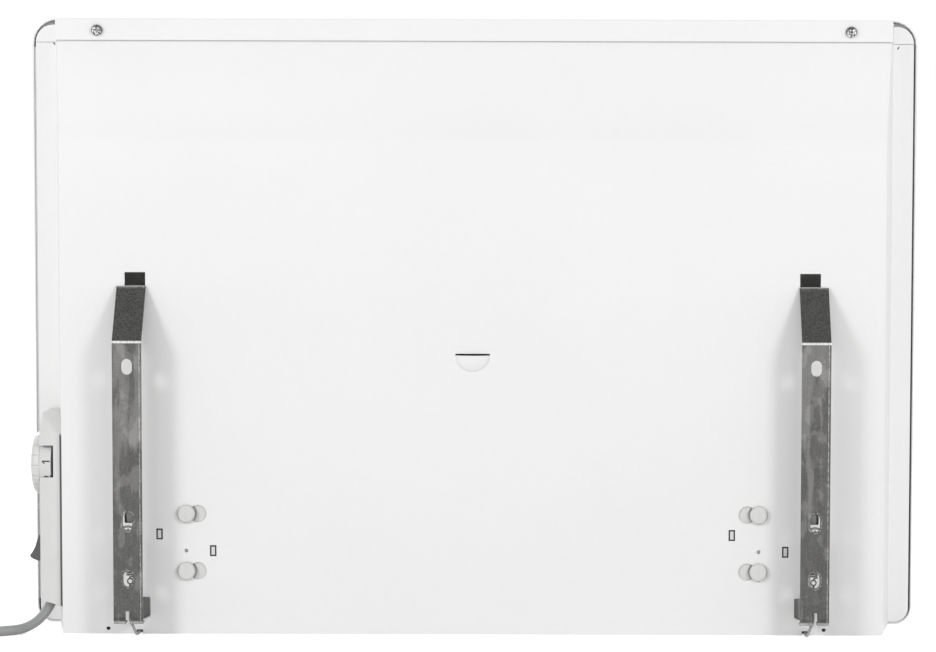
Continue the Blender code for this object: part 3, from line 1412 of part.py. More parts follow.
def make_tongue(name, side):
    """The narrow end that passes through the pan's slot and turns down behind it."""
    x = side * (BRACKET_X - BRACKET_SKEW)
    wall = BRACKET_WALL
    top = BRACKET_TOP
    leg_rear = PAN_INNER_Y - TONGUE_GAP
    outer = PAN_Y + CLEARANCE * 2 + wall / 2
    outline = [
        (outer, top),
        (leg_rear - wall, top),
        (leg_rear - wall, top - wall - TONGUE_LEG),
        (leg_rear, top - wall - TONGUE_LEG),
        (leg_rear, top - wall),
        (outer, top - wall),
    ]
    return prism(name, outline, "X", x - TONGUE_WIDTH / 2, x + TONGUE_WIDTH / 2)


def make_wing(name, side):
    """The side wing at the foot, on the edge nearer the heater's middle, with its lower corner cut off."""
    edge = side * (BRACKET_X - BRACKET_WIDTH / 2)
    inner = edge + side * BRACKET_WALL
    rear = WALL_Y - BRACKET_WALL / 2
    front = WALL_Y - WING_REACH
    outline = [(rear, WING_LOW), (rear, WING_HIGH), (front, WING_HIGH), (front, WING_LOW + WING_CORNER), (front + WING_CORNER, WING_LOW)]
    return prism(name, outline, "X", min(edge, inner), max(edge, inner))


# Retaining springs and hook wires: each wire is held up under the pan's edge

def make_spring(name, side, steel):
    """Hung on the lower edge of the middle oval hole, with its curls below and its end on the hook wire."""
    x = side * BRACKET_X
    count = SPRING_CURLS * SPRING_CURL_STEPS
    rise = (SPRING_HIGH - SPRING_LOW) / count
    seat_z = OVAL_MID_Z - OVAL_MID_HEIGHT / 2 + SPRING_WIRE + CLEARANCE
    hang = Vector((x, WALL_Y - SPRING_WIRE, seat_z))
    points = [hang, Vector((x, BRACKET_INNER_Y - SPRING_WIRE * 2, seat_z))]
    for k in range(count + 1):
        angle = 2 * math.pi * k / SPRING_CURL_STEPS
        offset = Vector((math.sin(angle), math.cos(angle), 0)) * SPRING_RADIUS
        points.append(Vector((x, SPRING_Y, SPRING_HIGH - rise * k)) + offset)
    end = Vector((x, SPRING_Y, HOOK_TOP + SPRING_WIRE / 2 + CLEARANCE))
    points += [Vector((x, SPRING_Y + SPRING_RADIUS / 2, (SPRING_LOW + end.z) / 2)), end]
    print(f"{name}: gap between curls {(rise * SPRING_CURL_STEPS - 2 * SPRING_WIRE) * 1000:.2f} mm")
    return tube(name, points, SPRING_WIRE, steel, 1)


def make_hook_wire(name, side, steel):
    """Down from the spring, through the foot slot, leaning to the pan's edge and in under its notch."""
    x = side * BRACKET_X
    foot = hook_x(side)
    bend = HOOK_WIRE * 3
    knots = [
        (x, SPRING_Y, HOOK_TOP),
        (x, SPRING_Y, (HOOK_TOP + BRACKET_LOW) / 2),
        (x, SPRING_Y, BRACKET_LOW),
        ((x + foot) / 2, (SPRING_Y + PAN_Y) / 2 + bend, (BRACKET_LOW + HOOK_LEG_Z) / 2),
        (foot, PAN_Y + bend, HOOK_LEG_Z + HOOK_WIRE / 2),
        (foot, PAN_Y, HOOK_LEG_Z),
        (foot, PAN_Y - HOOK_LEG_REACH, HOOK_LEG_Z),
    ]
    return tube(name, smooth_route(knots, 3), HOOK_WIRE, steel, 2)


def make_all():
    clear_scene()
    paint = finish("white_paint", (0.86, 0.86, 0.85), 0.42)
    galvanised = finish("galvanised_steel", (0.42, 0.42, 0.41), 0.48, 0.9)
    bright = finish("bright_steel", (0.62, 0.62, 0.62), 0.28, 1.0)
    alloy = finish("element_alloy", (0.70, 0.71, 0.72), 0.40, 1.0)
    moulding = finish("light_grey_moulding", (0.72, 0.72, 0.70), 0.45)
    ivory = finish("ivory_moulding", (0.70, 0.70, 0.67), 0.50)
    grey = finish("dark_grey_plastic", (0.10, 0.10, 0.10), 0.45)
    black = finish("black_plastic", (0.03, 0.03, 0.03), 0.45)
    bakelite = finish("brown_bakelite", (0.10, 0.05, 0.03), 0.40)
    sheath = finish("cord_sheath", (0.27, 0.28, 0.28), 0.50)
    brass = finish("nickel_brass", (0.65, 0.60, 0.50), 0.30, 1.0)
    sleeve = finish("lead_sleeve", (0.35, 0.10, 0.05), 0.60)
    make_front_shell(paint)
    make_outlet(paint)
    make_intake_grille(paint)
    make_rear_pan(paint)
    make_corner_channel(paint)
    make_top_strip(paint)
    make_heating_element(alloy, bright)
    make_heat_shield(galvanised)
    make_thermal_cutout(galvanised, bakelite)
    make_control_housing(moulding)
    make_housing_base(moulding)
    make_thermostat(bakelite, brass)
    make_dial(moulding)
    make_switch(black, grey)
    make_terminal_block(moulding)
    make_leads(sleeve)
    make_cord(black, sheath, brass)
    for side, word in ((-1, "left"), (1, "right")):
        make_strip_screw(f"top_strip_screw_{word}", side * STRIP_SCREW_X, bright)
        make_element_support(f"element_support_{word}", side, ivory)
        make_wall_bracket(f"wall_bracket_{word}", side, galvanised)
        make_spring(f"hook_spring_{word}", side, bright)
        make_hook_wire(f"hook_wire_{word}", side, bright)


make_all()
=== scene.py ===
import math

import bmesh
import bpy
from mathutils import Euler, Matrix, Vector


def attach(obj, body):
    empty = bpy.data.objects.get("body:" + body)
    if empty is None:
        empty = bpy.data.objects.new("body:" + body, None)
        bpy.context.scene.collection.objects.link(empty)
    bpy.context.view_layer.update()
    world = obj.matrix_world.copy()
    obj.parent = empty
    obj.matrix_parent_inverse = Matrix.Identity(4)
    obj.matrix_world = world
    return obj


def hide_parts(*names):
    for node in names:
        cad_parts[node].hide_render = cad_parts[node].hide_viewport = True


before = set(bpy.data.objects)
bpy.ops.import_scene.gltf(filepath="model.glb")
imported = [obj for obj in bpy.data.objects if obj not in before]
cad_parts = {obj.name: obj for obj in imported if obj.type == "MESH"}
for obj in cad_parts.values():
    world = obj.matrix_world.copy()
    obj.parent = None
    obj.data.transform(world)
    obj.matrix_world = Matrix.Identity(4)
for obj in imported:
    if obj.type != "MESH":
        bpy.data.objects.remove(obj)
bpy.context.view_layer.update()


# Studio: the heater stands on a pale floor with its back to a long lens.
# The lens sits a little above the casing's middle and a little to the heater's left,
# and two broad lamps beside it throw a soft shadow to each side of the wall brackets.

IMAGE_WIDTH = 936
FOCAL_PIXELS = 2748
LENS_PLACE = (-0.057, 1.9735, 0.3436)
LENS_TILT = math.radians(3.6)
LENS_ROLL = math.radians(0.16)
LENS_SHIFT_PIXELS = -85

scene = bpy.context.scene
scene.view_settings.view_transform = "Standard"

lens = bpy.data.cameras.new("lens")
lens.sensor_width = 36
lens.lens = FOCAL_PIXELS * lens.sensor_width / IMAGE_WIDTH
lens.shift_x = LENS_SHIFT_PIXELS / IMAGE_WIDTH
camera = bpy.data.objects.new("camera", lens)
scene.collection.objects.link(camera)
aim = Euler((math.pi / 2 - LENS_TILT, 0, math.pi)).to_matrix() @ Matrix.Rotation(LENS_ROLL, 3, "Z")
camera.matrix_world = Matrix.Translation(LENS_PLACE) @ aim.to_4x4()
scene.camera = camera


def hang_lamp(name, place, target, size, power):
    light = bpy.data.lights.new(name, "AREA")
    light.shape = "DISK"
    light.size = size
    light.energy = power
    lamp = bpy.data.objects.new(name, light)
    scene.collection.objects.link(lamp)
    lamp.location = place
    lamp.rotation_euler = (Vector(target) - Vector(place)).to_track_quat("-Z", "Y").to_euler()


LAMPS = [
    ("lamp_back_right", (2.0, 2.1, 1.25), 0.75, 26),
    ("lamp_back_left", (-1.69, 2.0, 1.15), 0.7, 18.5),
    ("lamp_front_right", (1.7, -2.2, 1.7), 1.0, 23),
    ("lamp_front_left", (-1.7, -2.2, 1.7), 1.0, 20),
]
LAMP_AIM = (0, 0, 0.22)
for lamp_name, lamp_place, lamp_size, lamp_power in LAMPS:
    hang_lamp(lamp_name, lamp_place, LAMP_AIM, lamp_size, lamp_power)


class Reading:
    """The output of a node. Sums, products and comparisons of readings add Math nodes."""

    def __init__(self, look, socket):
        self.look = look
        self.socket = socket

    def __add__(self, other):
        return self.look.maths("ADD", self, other)

    __radd__ = __add__

    def __mul__(self, other):
        return self.look.maths("MULTIPLY", self, other)

    __rmul__ = __mul__

    def __sub__(self, other):
        return self.look.maths("SUBTRACT", self, other)

    def __rsub__(self, other):
        return self.look.maths("SUBTRACT", other, self)

    def __abs__(self):
        return self.look.maths("ABSOLUTE", self)

    def or_more(self, other):
        """The larger of this and the other."""
        return self.look.maths("MAXIMUM", self, other)

    def eased(self, low, high):
        """0 below low and 1 above high, with a smooth step between."""
        settings = {"interpolation_type": "SMOOTHSTEP"}
        inputs = {"Value": self, "From Min": low, "From Max": high}
        return self.look.node("ShaderNodeMapRange", settings, inputs)


class Look:
    """The finish of one material: its node tree and its shader."""

    def __init__(self, name, tree=None):
        if tree is None:
            self.material = bpy.data.materials.new(name)
            self.material.use_nodes = True
            tree = self.material.node_tree
            self.shader = tree.nodes["Principled BSDF"]
        self.tree = tree

    def node(self, kind, settings=None, inputs=None, output=0):
        made = self.tree.nodes.new(kind)
        for name, value in (settings or {}).items():
            if name == "stops":
                self.stops(made.color_ramp.elements, value)
            else:
                setattr(made, name, value)
        for key, value in (inputs or {}).items():
            self.feed(made.inputs[key], value)
        return Reading(self, made.outputs[output])

    def maths(self, operation, *values):
        return self.node("ShaderNodeMath", {"operation": operation}, dict(enumerate(values)))

    def stops(self, elements, wanted):
        elements.remove(elements[1])
        for position, colour in wanted:
            stop = elements[0] if position == wanted[0][0] else elements.new(position)
            stop.position = position
            stop.color = (*colour, 1)

    def feed(self, socket, value):
        if isinstance(value, Reading):
            self.tree.links.new(value.socket, socket)
        elif socket.type == "RGBA":
            socket.default_value = (*value, 1)
        else:
            socket.default_value = value

    def shows(self, **values):
        """Sets or links the shader's sockets, with _ for the space in a name."""
        for name, value in values.items():
            self.feed(self.shader.inputs[name.replace("_", " ").title()], value)

    def where(self, stretch=(1, 1, 1)):
        """The place on the object, in metres, with each axis multiplied by its stretch."""
        place = self.node("ShaderNodeTexCoord", output="Object")
        if stretch == (1, 1, 1):
            return place
        return self.node("ShaderNodeVectorMath", {"operation": "MULTIPLY"}, {0: place, 1: stretch})

    def axis(self, letter):
        return self.node("ShaderNodeSeparateXYZ", inputs={0: self.where()}, output=letter)

    def noise(self, scale, detail=2.0, stretch=(1, 1, 1)):
        inputs = {"Vector": self.where(stretch), "Scale": scale, "Detail": detail}
        return self.node("ShaderNodeTexNoise", inputs=inputs)

    def toned(self, colour, tone):
        """A colour made darker or lighter, all its channels alike."""
        return self.node("ShaderNodeVectorMath", {"operation": "SCALE"}, {0: colour, "Scale": tone})

    def ramp(self, value, *stops):
        return self.node("ShaderNodeValToRGB", {"stops": stops}, {0: value})

    def mix(self, factor, first, second):
        """The first colour where the factor is 0, and the second where it is 1."""
        return self.node("ShaderNodeMix", {"data_type": "RGBA"}, {0: factor, 6: first, 7: second}, 2)

    def bump(self, height, distance, strength=1.0, under=None):
        """Raised by height times distance, in metres, on top of the bump given as under."""
        inputs = {"Height": height, "Distance": distance, "Strength": strength}
        if under is not None:
            inputs["Normal"] = under
        return self.node("ShaderNodeBump", inputs=inputs)

    def seen_directly(self):
        """1 for the rays that show a backdrop: from the lens, off metal and through glass."""
        kinds = ("Camera", "Glossy", "Transmission")
        from_lens, off_metal, through_glass = [
            self.node("ShaderNodeLightPath", output=f"Is {kind} Ray") for kind in kinds
        ]
        return from_lens.or_more(off_metal).or_more(through_glass)


world = bpy.data.worlds.new("studio")
scene.world = world
world.use_nodes = True
WORLD_FILL = 0.62
room = Look("studio", world.node_tree)
air = world.node_tree.nodes["Background"]
air.inputs["Color"].default_value = (1, 1, 1, 1)
room.feed(air.inputs["Strength"], room.seen_directly() * (1 - WORLD_FILL) + WORLD_FILL)

FLOOR_HALF = 30
FLOOR_TONE = (0.80, 0.80, 0.80)
FLOOR_GLOW = (0.58, 0.58, 0.58)
floor_mesh = bpy.data.meshes.new("floor")
corners = [(x * FLOOR_HALF, y * FLOOR_HALF, 0) for x, y in ((-1, -1), (1, -1), (1, 1), (-1, 1))]
floor_mesh.from_pydata(corners, [], [(0, 1, 2, 3)])
floor = bpy.data.objects.new("floor", floor_mesh)
scene.collection.objects.link(floor)
ground = Look("pale_floor")
ground.shows(
    base_color=FLOOR_TONE,
    roughness=0.9,
    emission_color=ground.mix(ground.seen_directly(), (0, 0, 0), FLOOR_GLOW),
    emission_strength=1.0,
)
ground.feed(ground.shader.inputs["Specular IOR Level"], 0.0)
floor_mesh.materials.append(ground.material)


# Mains cord: a grey PVC sheath of 7 mm, 1.55 m long up to its plug.
# It leaves the floor of the control unit, bends down to the ground and goes out of view,
# where the rest is wound into a coil of six turns in two layers under a wire tie.

CASING_SIDE = 0.320
CORD_DIAMETER = 0.007
CORD_KNOTS = [
    (-0.0172, 0.0125, 0.0216), (-0.0148, 0.0148, 0.0163), (-0.0117, 0.0179, 0.0118),
    (-0.0080, 0.0214, 0.0081), (-0.0042, 0.0250, 0.0057), (-0.0003, 0.0289, 0.0042),
    (0.0038, 0.0328, 0.0037), (0.0083, 0.0364, 0.0037), (0.0134, 0.0391, 0.0037),
    (0.0190, 0.0407, 0.0037), (0.0247, 0.0412, 0.0037), (0.0350, 0.0412, 0.0037),
    (0.0460, 0.0412, 0.0037), (0.0570, 0.0412, 0.0037),
]
COIL_CENTRE = (0.3965, -0.0073)
COIL_MIDDLE_RADIUS = 0.0373
COIL_TURNS = 6
COIL_PITCH = 0.0076
TURN_STEPS = 24
PLUG_REACH = 0.0735
PLUG_RADIUS = 0.0188
PLUG_NECK = 0.013
PLUG_ENTRY = 0.0185
SOLID_GAP = 0.0003


def through(points, steps):
    """Points of a smooth line through the given ones, with so many steps to each span."""
    knots = [Vector(p) for p in points]
    knots = [knots[0] * 2 - knots[1]] + knots + [knots[-1] * 2 - knots[-2]]
    made = []
    for a, b, c, d in zip(knots, knots[1:], knots[2:], knots[3:]):
        for k in range(steps):
            t = k / steps
            bend = (a * 2 - b * 5 + c * 4 - d) * t**2 + (b * 3 - a - c * 3 + d) * t**3
            made.append((b * 2 + (c - a) * t + bend) / 2)
    return made + [knots[-2]]


def coil_radius_and_height(turns):
    """Inwards for three turns on the floor, then up a layer and outwards again."""
    spread = COIL_PITCH * COIL_TURNS / 2
    part = turns / (COIL_TURNS / 2)
    inwards = part if part < 1 else 2 - part
    lift = min(max((turns - COIL_TURNS / 2) * 2 + 0.5, 0), 1)
    low = (CORD_DIAMETER + SOLID_GAP) / 2
    return COIL_MIDDLE_RADIUS + spread / 2 - spread * inwards, low + COIL_PITCH * lift * lift * (3 - 2 * lift)


leaving_angle = 2 * math.pi / TURN_STEPS
leaving_way = Vector((math.cos(leaving_angle), -math.sin(leaving_angle), 0))
outer_radius, floor_height = coil_radius_and_height(0)
coil = [Vector((COIL_CENTRE[0] - CORD_DIAMETER, COIL_CENTRE[1] + outer_radius, floor_height))]
for k in range(COIL_TURNS * TURN_STEPS + 2):
    radius, height = coil_radius_and_height(k / TURN_STEPS)
    angle = math.pi / 2 - 2 * math.pi * k / TURN_STEPS
    x = COIL_CENTRE[0] + radius * math.cos(angle)
    y = COIL_CENTRE[1] + radius * math.sin(angle)
    coil.append(Vector((x, y, height)))
last = coil[-1]
reach = math.sqrt(PLUG_REACH**2 - radius**2) - PLUG_RADIUS - PLUG_NECK - SOLID_GAP
cord_end = last + leaving_way * reach
cord_end.z = PLUG_ENTRY
rise = cord_end - leaving_way * CORD_DIAMETER - last
for k in range(1, 5):
    t = k / 4
    coil.append(last + Vector((rise.x * t, rise.y * t, rise.z * t * t * (3 - 2 * t))))
coil.append(cord_end)
knots = [Vector((CASING_SIDE + x, y, z)) for x, y, z in CORD_KNOTS]
join = coil[0] - Vector((SOLID_GAP, 0, 0))
cord_line = through(knots + [join - Vector((CORD_DIAMETER, 0, 0)), join], 2) + coil[1:]


def tube(name, points, radius, look, resolution):
    """A round wire or cord along the points, with closed ends."""
    curve = bpy.data.curves.new(name, "CURVE")
    curve.dimensions = "3D"
    curve.bevel_depth = radius
    curve.bevel_resolution = resolution
    curve.use_fill_caps = True
    spline = curve.splines.new("POLY")
    spline.points.add(len(points) - 1)
    for target, point in zip(spline.points, points):
        target.co = (*point, 1)
    spline.use_smooth = True
    curve.materials.append(look.material)
    piece = bpy.data.objects.new(name, curve)
    scene.collection.objects.link(piece)
    return piece


def line_length(points):
    return sum((b - a).length for a, b in zip(points, points[1:]))


def clouded(look, darker, lighter):
    """The slow change of tone that a moulding shows."""
    return look.ramp(look.noise(38, 3.0), (0.35, darker), (0.65, lighter))


def rubbed_plastic(name, colour, roughness, grain, variation=0.06):
    """Moulded plastic: a fine texture, a slow change of tone and a little unevenness of gloss."""
    look = Look(name)
    darker = tuple(c * (1 - variation) for c in colour)
    lighter = tuple(min(c * (1 + variation), 1) for c in colour)
    look.shows(
        base_color=clouded(look, darker, lighter),
        roughness=look.noise(120, 2.0) * 0.12 + (roughness - 0.06),
        normal=look.bump(look.noise(grain, 2.0), 0.00006, 0.5),
    )
    return look


sheath = rubbed_plastic("cord_sheath", (0.285, 0.29, 0.29), roughness=0.48, grain=2600)
cord = tube("mains_cord", cord_line, CORD_DIAMETER / 2, sheath, 7)
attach(cord, "casing")
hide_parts("cord_free", "cord_coil")

# A plastic covered wire ties the coil, with its two ends twisted together on top.
TIE_ANGLE = math.radians(250)
TIE_RADIUS = 0.0006
TIE_CORNER = 0.0032
TIE_SLACK = 0.0008
TIE_LAP = 0.0001
TIE_KNOT_RISE = 0.0004
TIE_TAILS = (
    (0.009, 0.004, 0.0016), (0.004, 0.0014, 0.0012), (0.0, 0.0006, 0.0006),
    (0.0008, -0.0008, 0.0014), (0.0035, -0.003, 0.0015), (0.0085, -0.0055, 0.0010),
)
tie_out = Vector((math.cos(TIE_ANGLE), math.sin(TIE_ANGLE), 0))
tie_side = Vector((-tie_out.y, tie_out.x, 0))
tie_middle = Vector((*COIL_CENTRE, 0)) + tie_out * COIL_MIDDLE_RADIUS
tie_half = COIL_PITCH + CORD_DIAMETER / 2 + TIE_SLACK
tie_high = COIL_PITCH + CORD_DIAMETER + TIE_SLACK
tie_line = []
for u, v, first in ((1, 1, 0), (-1, 1, 90), (-1, -1, 180), (1, -1, 270)):
    corner_height = tie_high - TIE_CORNER if v > 0 else TIE_RADIUS + TIE_CORNER
    for k in range(5):
        turn = math.radians(first + 90 * k / 4)
        across = u * (tie_half - TIE_CORNER) + TIE_CORNER * math.cos(turn)
        up = corner_height + TIE_CORNER * math.sin(turn)
        tie_line.append(tie_middle + tie_out * across + Vector((0, 0, up)))
tie_line.append(tie_line[0] + Vector((0, 0, TIE_LAP)))
tie_look = rubbed_plastic("black_tie", (0.03, 0.03, 0.032), roughness=0.42, grain=2200)
tie = tube("cord_tie", tie_line, TIE_RADIUS, tie_look, 3)

knot_place = tie_middle + Vector((0, 0, tie_high + TIE_KNOT_RISE))
tails = [knot_place + tie_side * along + tie_out * out + Vector((0, 0, up)) for along, out, up in TIE_TAILS]
tie_tails = tube("cord_tie_tails", through(tails, 5), TIE_RADIUS, tie_look, 3)
for piece in (tie, tie_tails):
    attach(piece, "casing")


# Mains plug: a round moulded plug, angled so that the cord leaves at its side.
# Its body is black PVC with finger grooves and a ribbed neck; two pins and the
# earth clips in its rim are nickel plated brass. It lies on its back beside the coil.

plug_middle = cord_end + leaving_way * (PLUG_RADIUS + PLUG_NECK + SOLID_GAP)
plug_middle.z = SOLID_GAP
plug_turn = Matrix.Rotation(-leaving_angle, 4, "Z")


def add_piece(name, shape, look, body):
    """An object from a bmesh in the row frame, which rides on a body and has a finish."""
    bmesh.ops.recalc_face_normals(shape, faces=shape.faces[:])
    mesh = bpy.data.meshes.new(name)
    shape.to_mesh(mesh)
    shape.free()
    mesh.materials.append(look.material)
    mesh.shade_smooth()
    piece = bpy.data.objects.new(name, mesh)
    scene.collection.objects.link(piece)
    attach(piece, body)
    return piece


def join_rings(shape, rings):
    """Faces between each ring and the next, with the first and the last ring closed."""
    made = [[shape.verts.new(p) for p in ring] for ring in rings]
    for first, second in zip(made, made[1:]):
        for i in range(len(first)):
            j = (i + 1) % len(first)
            shape.faces.new((first[i], first[j], second[j], second[i]))
    shape.faces.new(made[0])
    shape.faces.new(made[-1])


def weld_seams(piece):
    """Joins the points that a CAD mesh holds twice along its edges."""
    weld = piece.modifiers.new("weld", "WELD")
    weld.merge_threshold = 0.00002


def soften(piece, radius, segments=2, angle=28):
    """Small radii on the edges, as on the real piece, with the flat faces kept flat."""
    weld_seams(piece)
    if radius:
        bevel = piece.modifiers.new("radius", "BEVEL")
        bevel.width = radius
        bevel.segments = segments
        bevel.limit_method = "ANGLE"
        bevel.angle_limit = math.radians(angle)
        bevel.use_clamp_overlap = True
        bevel.miter_outer = "MITER_ARC"
    level = piece.modifiers.new("flat_faces", "WEIGHTED_NORMAL")
    level.weight = 60
    piece.data.shade_smooth()


black_plastic = rubbed_plastic("black_plastic", (0.032, 0.032, 0.033), roughness=0.44, grain=2000)

PLUG_SIDES = 72
PLUG_PROFILE = (
    (0.0080, 0.0), (0.0140, 0.0002), (0.0163, 0.0012), (0.0177, 0.0030), (0.0182, 0.0050),
    (0.0183, 0.0095), (0.01855, 0.0110), (0.0188, 0.0125), (0.0188, 0.0268), (0.0186, 0.0276),
    (0.0182, 0.0280), (0.0166, 0.0280), (0.0162, 0.0277), (0.0162, 0.0256), (0.0155, 0.0255),
)
GRIP_FROM = 0.004
GRIP_TO = 0.010
GRIP_HOLLOW = 0.0007
GRIP_GROOVE = 0.0005
GRIP_GROOVES = 36
HOLLOW_START_SHARE = 0.55
GROOVE_START_SHARE = 0.6

shape = bmesh.new()
rings = []
for radius, height in PLUG_PROFILE:
    gripped = GRIP_FROM < height < GRIP_TO
    ring = []
    for k in range(PLUG_SIDES):
        angle = 2 * math.pi * k / PLUG_SIDES
        sideways = abs(math.sin(angle))
        r = radius
        if gripped:
            r -= GRIP_HOLLOW * max(0, sideways - HOLLOW_START_SHARE) / (1 - HOLLOW_START_SHARE)
        if gripped and sideways > GROOVE_START_SHARE:
            r -= GRIP_GROOVE * (0.5 - 0.5 * math.cos(angle * GRIP_GROOVES))
        ring.append((r * math.cos(angle), r * math.sin(angle), height))
    rings.append(ring)
join_rings(shape, rings)
shape.transform(Matrix.Translation(plug_middle) @ plug_turn)
plug = add_piece("plug_moulding", shape, black_plastic, "casing")
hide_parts("plug_body")

NECK_RADIUS = 0.0058
NECK_FLARE = 0.0026
NECK_RIB = 0.0007
NECK_CHAMFER = 0.0006
NECK_IN_PLUG = 0.006
NECK_RINGS = 26
NECK_SIDES = 32
LAST_RIB_RING = 16

neck_turns = [2 * math.pi * k / NECK_SIDES for k in range(NECK_SIDES)]
shape = bmesh.new()
rings = []
for k in range(NECK_RINGS + 1):
    along = k / NECK_RINGS
    radius = NECK_RADIUS + NECK_FLARE * along**1.3
    if k % 4 in (1, 2) and 2 < k <= LAST_RIB_RING:
        radius -= NECK_RIB
    if k == 0:
        radius -= NECK_CHAMFER
    x = -PLUG_RADIUS - PLUG_NECK + along * (PLUG_NECK + NECK_IN_PLUG)
    middle = PLUG_ENTRY - SOLID_GAP
    rings.append([(x, radius * math.cos(a), middle + radius * math.sin(a)) for a in neck_turns])
join_rings(shape, rings)
shape.transform(Matrix.Translation(plug_middle) @ plug_turn)
neck = add_piece("plug_neck", shape, black_plastic, "casing")


def plated(name, colour, roughness):
    look = Look(name)
    scratch = look.noise(900, 3.0, (1, 1, 0.12))
    look.shows(
        base_color=look.ramp(look.noise(60, 3.0), (0.3, tuple(c * 0.9 for c in colour)), (0.7, colour)),
        metallic=1.0,
        roughness=scratch * 0.16 + (roughness - 0.08),
        normal=look.bump(scratch, 0.00002, 0.4),
    )
    return look


def dress(node, look, radius=0.0, segments=2, angle=28):
    """Gives a CAD node its finish, and small radii where it has them."""
    piece = bpy.data.objects[node]
    for material_slot in piece.material_slots:
        material_slot.material = look.material
    soften(piece, radius, segments, angle)


nickel = plated("nickel_brass", (0.62, 0.585, 0.50), roughness=0.28)
for node in ("plug_pin_1", "plug_pin_2", "plug_earth_clip_1", "plug_earth_clip_2"):
    dress(node, nickel, radius=0.0002)
dress("cord_gland", black_plastic, radius=0.0002)
line_length(cord_line)


# White sheet steel: front shell, louvred outlet, rear pan, channel and strip.
# All are folded or pressed from 1 mm sheet and powder coated in satin white, which
# leaves a faint orange peel. The pan's flanges and the corner channel are painted lighter, as painted light.

def powder_coat(name, colour):
    look = Look(name)
    cloud = look.noise(7, 3.0)
    fine = look.noise(240, 2.0)
    pale = tuple(min(c * 1.012, 1) for c in colour)
    dull = tuple(c * 0.982 for c in colour)
    look.colour = look.ramp(cloud * 0.7 + fine * 0.3, (0.3, dull), (0.7, pale))
    look.shows(
        base_color=look.colour,
        roughness=cloud * 0.08 + 0.38,
        normal=look.bump(look.noise(900, 2.0), 0.00005, 0.35),
    )
    return look


WHITE = (0.83, 0.83, 0.828)
# A lighter white, painted light on the pan's flanges.
LIT_FLANGE_WHITE = (0.90, 0.90, 0.898)
LIT_CHANNEL_WHITE = (0.93, 0.93, 0.928)
coat = powder_coat("white_powder_coat", WHITE)
dress("front_shell", coat, radius=0.0005, angle=40)
# The corner channel is painted a lighter white than the rest: painted light in its recessed corners.
dress("corner_channel", powder_coat("lit_channel_coat", LIT_CHANNEL_WHITE), radius=0.0003)
for node in ("outlet_frame", "top_strip"):
    dress(node, coat, radius=0.0003)

# The pan's flanges are painted a lighter white: painted light where they lie recessed. At each flange's upper
# end, beside the fold where the pan has a small relief, a dark mark is painted as its shade, and a band of
# painted shade lies on the back in the joint under the strip.
PAN_FLANGE_Y = -0.0215
RELIEF_SHADES = ((0.3042, 0.4217, 0.5), (-0.3062, 0.4200, -0.5))
STRIP_JOINT_Z = 0.4218
pan_coat = powder_coat("white_pan_coat", WHITE)
flange = 1 - pan_coat.axis("Y").eased(PAN_FLANGE_Y, PAN_FLANGE_Y + 0.001)
shade = pan_coat.mix(flange, pan_coat.colour, LIT_FLANGE_WHITE)
# Painted shade of each relief beside the fold.
for x, z, lean in RELIEF_SHADES:
    across = pan_coat.axis("X") - x
    along = pan_coat.axis("Z") - z
    slant = abs(across - along * lean) * 2.2 + abs(along)
    shade = pan_coat.mix((1 - slant.eased(0.0012, 0.0017)) * flange, shade, (0.05, 0.05, 0.05))
# Painted shade in the joint under the strip.
strip_shade = pan_coat.axis("Z").eased(STRIP_JOINT_Z, STRIP_JOINT_Z + 0.0011) * (1 - flange)
shade = pan_coat.mix(strip_shade * 0.22, shade, (0.10, 0.10, 0.10))
pan_coat.shows(base_color=shade)
dress("rear_pan", pan_coat, radius=0.0004, angle=42)

# On the control side the shell's edge is hemmed over and nearly closes the joint.
HEM_SECTION = (
    (0.31765, -0.0246), (0.31865, -0.0246), (0.31865, -0.0236), (0.3183, -0.0233), (0.31765, -0.0236),
)
HEM_ENDS = (0.0175, 0.4195)
shape = bmesh.new()
join_rings(shape, [[(x, y, z) for x, y in HEM_SECTION] for z in HEM_ENDS])
add_piece("shell_hem", shape, coat, "casing")

# Round each upper corner the channel's edge lies a little inside the shell's rim.
SIDES = (("left", -1), ("right", 1))
CASING_HIGH = 0.440
CORNER_RADIUS = 0.018
CHANNEL_EDGE_START = 0.2975
CHANNEL_EDGE_OUTER = 0.0011
CHANNEL_EDGE_INNER = 0.0050
CHANNEL_EDGE_FACES = (-0.0285, -0.0270)
for word, side in SIDES:
    outline = [(CHANNEL_EDGE_START, CASING_HIGH - CHANNEL_EDGE_OUTER)]
    for inset, angles in ((CHANNEL_EDGE_OUTER, range(90, -1, -10)), (CHANNEL_EDGE_INNER, range(0, 91, 10))):
        for degrees in angles:
            turn = math.radians(degrees)
            x = CASING_SIDE - CORNER_RADIUS + (CORNER_RADIUS - inset) * math.cos(turn)
            z = CASING_HIGH - CORNER_RADIUS + (CORNER_RADIUS - inset) * math.sin(turn)
            outline.append((x, z))
    outline.append((CHANNEL_EDGE_START, CASING_HIGH - CHANNEL_EDGE_INNER))
    shape = bmesh.new()
    join_rings(shape, [[(side * x, y, z) for x, z in outline] for y in CHANNEL_EDGE_FACES])
    add_piece(f"channel_edge_{word}", shape, coat, "casing")

for k in range(1, 5):
    dress(f"outlet_blade_{k}", coat, radius=0.0003, angle=20)
dress("intake_grille", coat, radius=0.0002)

# The pan's side is left closed over the unit's sloped corner.
PAN_BACK = 0.0275
PAN_SIDE_AT_BACK = 0.2925
PAN_SIDE_LEAN = 0.21
PAN_SHEET = 0.001
UNIT_CORNER = ((0.0232, 0.1572), (0.0092, 0.1572), (0.0232, 0.1432))
shape = bmesh.new()
join_rings(shape, [
    [(PAN_SIDE_AT_BACK + (PAN_BACK - y) * PAN_SIDE_LEAN - inwards, y, z) for y, z in UNIT_CORNER]
    for inwards in (0.0, PAN_SHEET)
])
add_piece("unit_corner_plate", shape, coat, "casing")
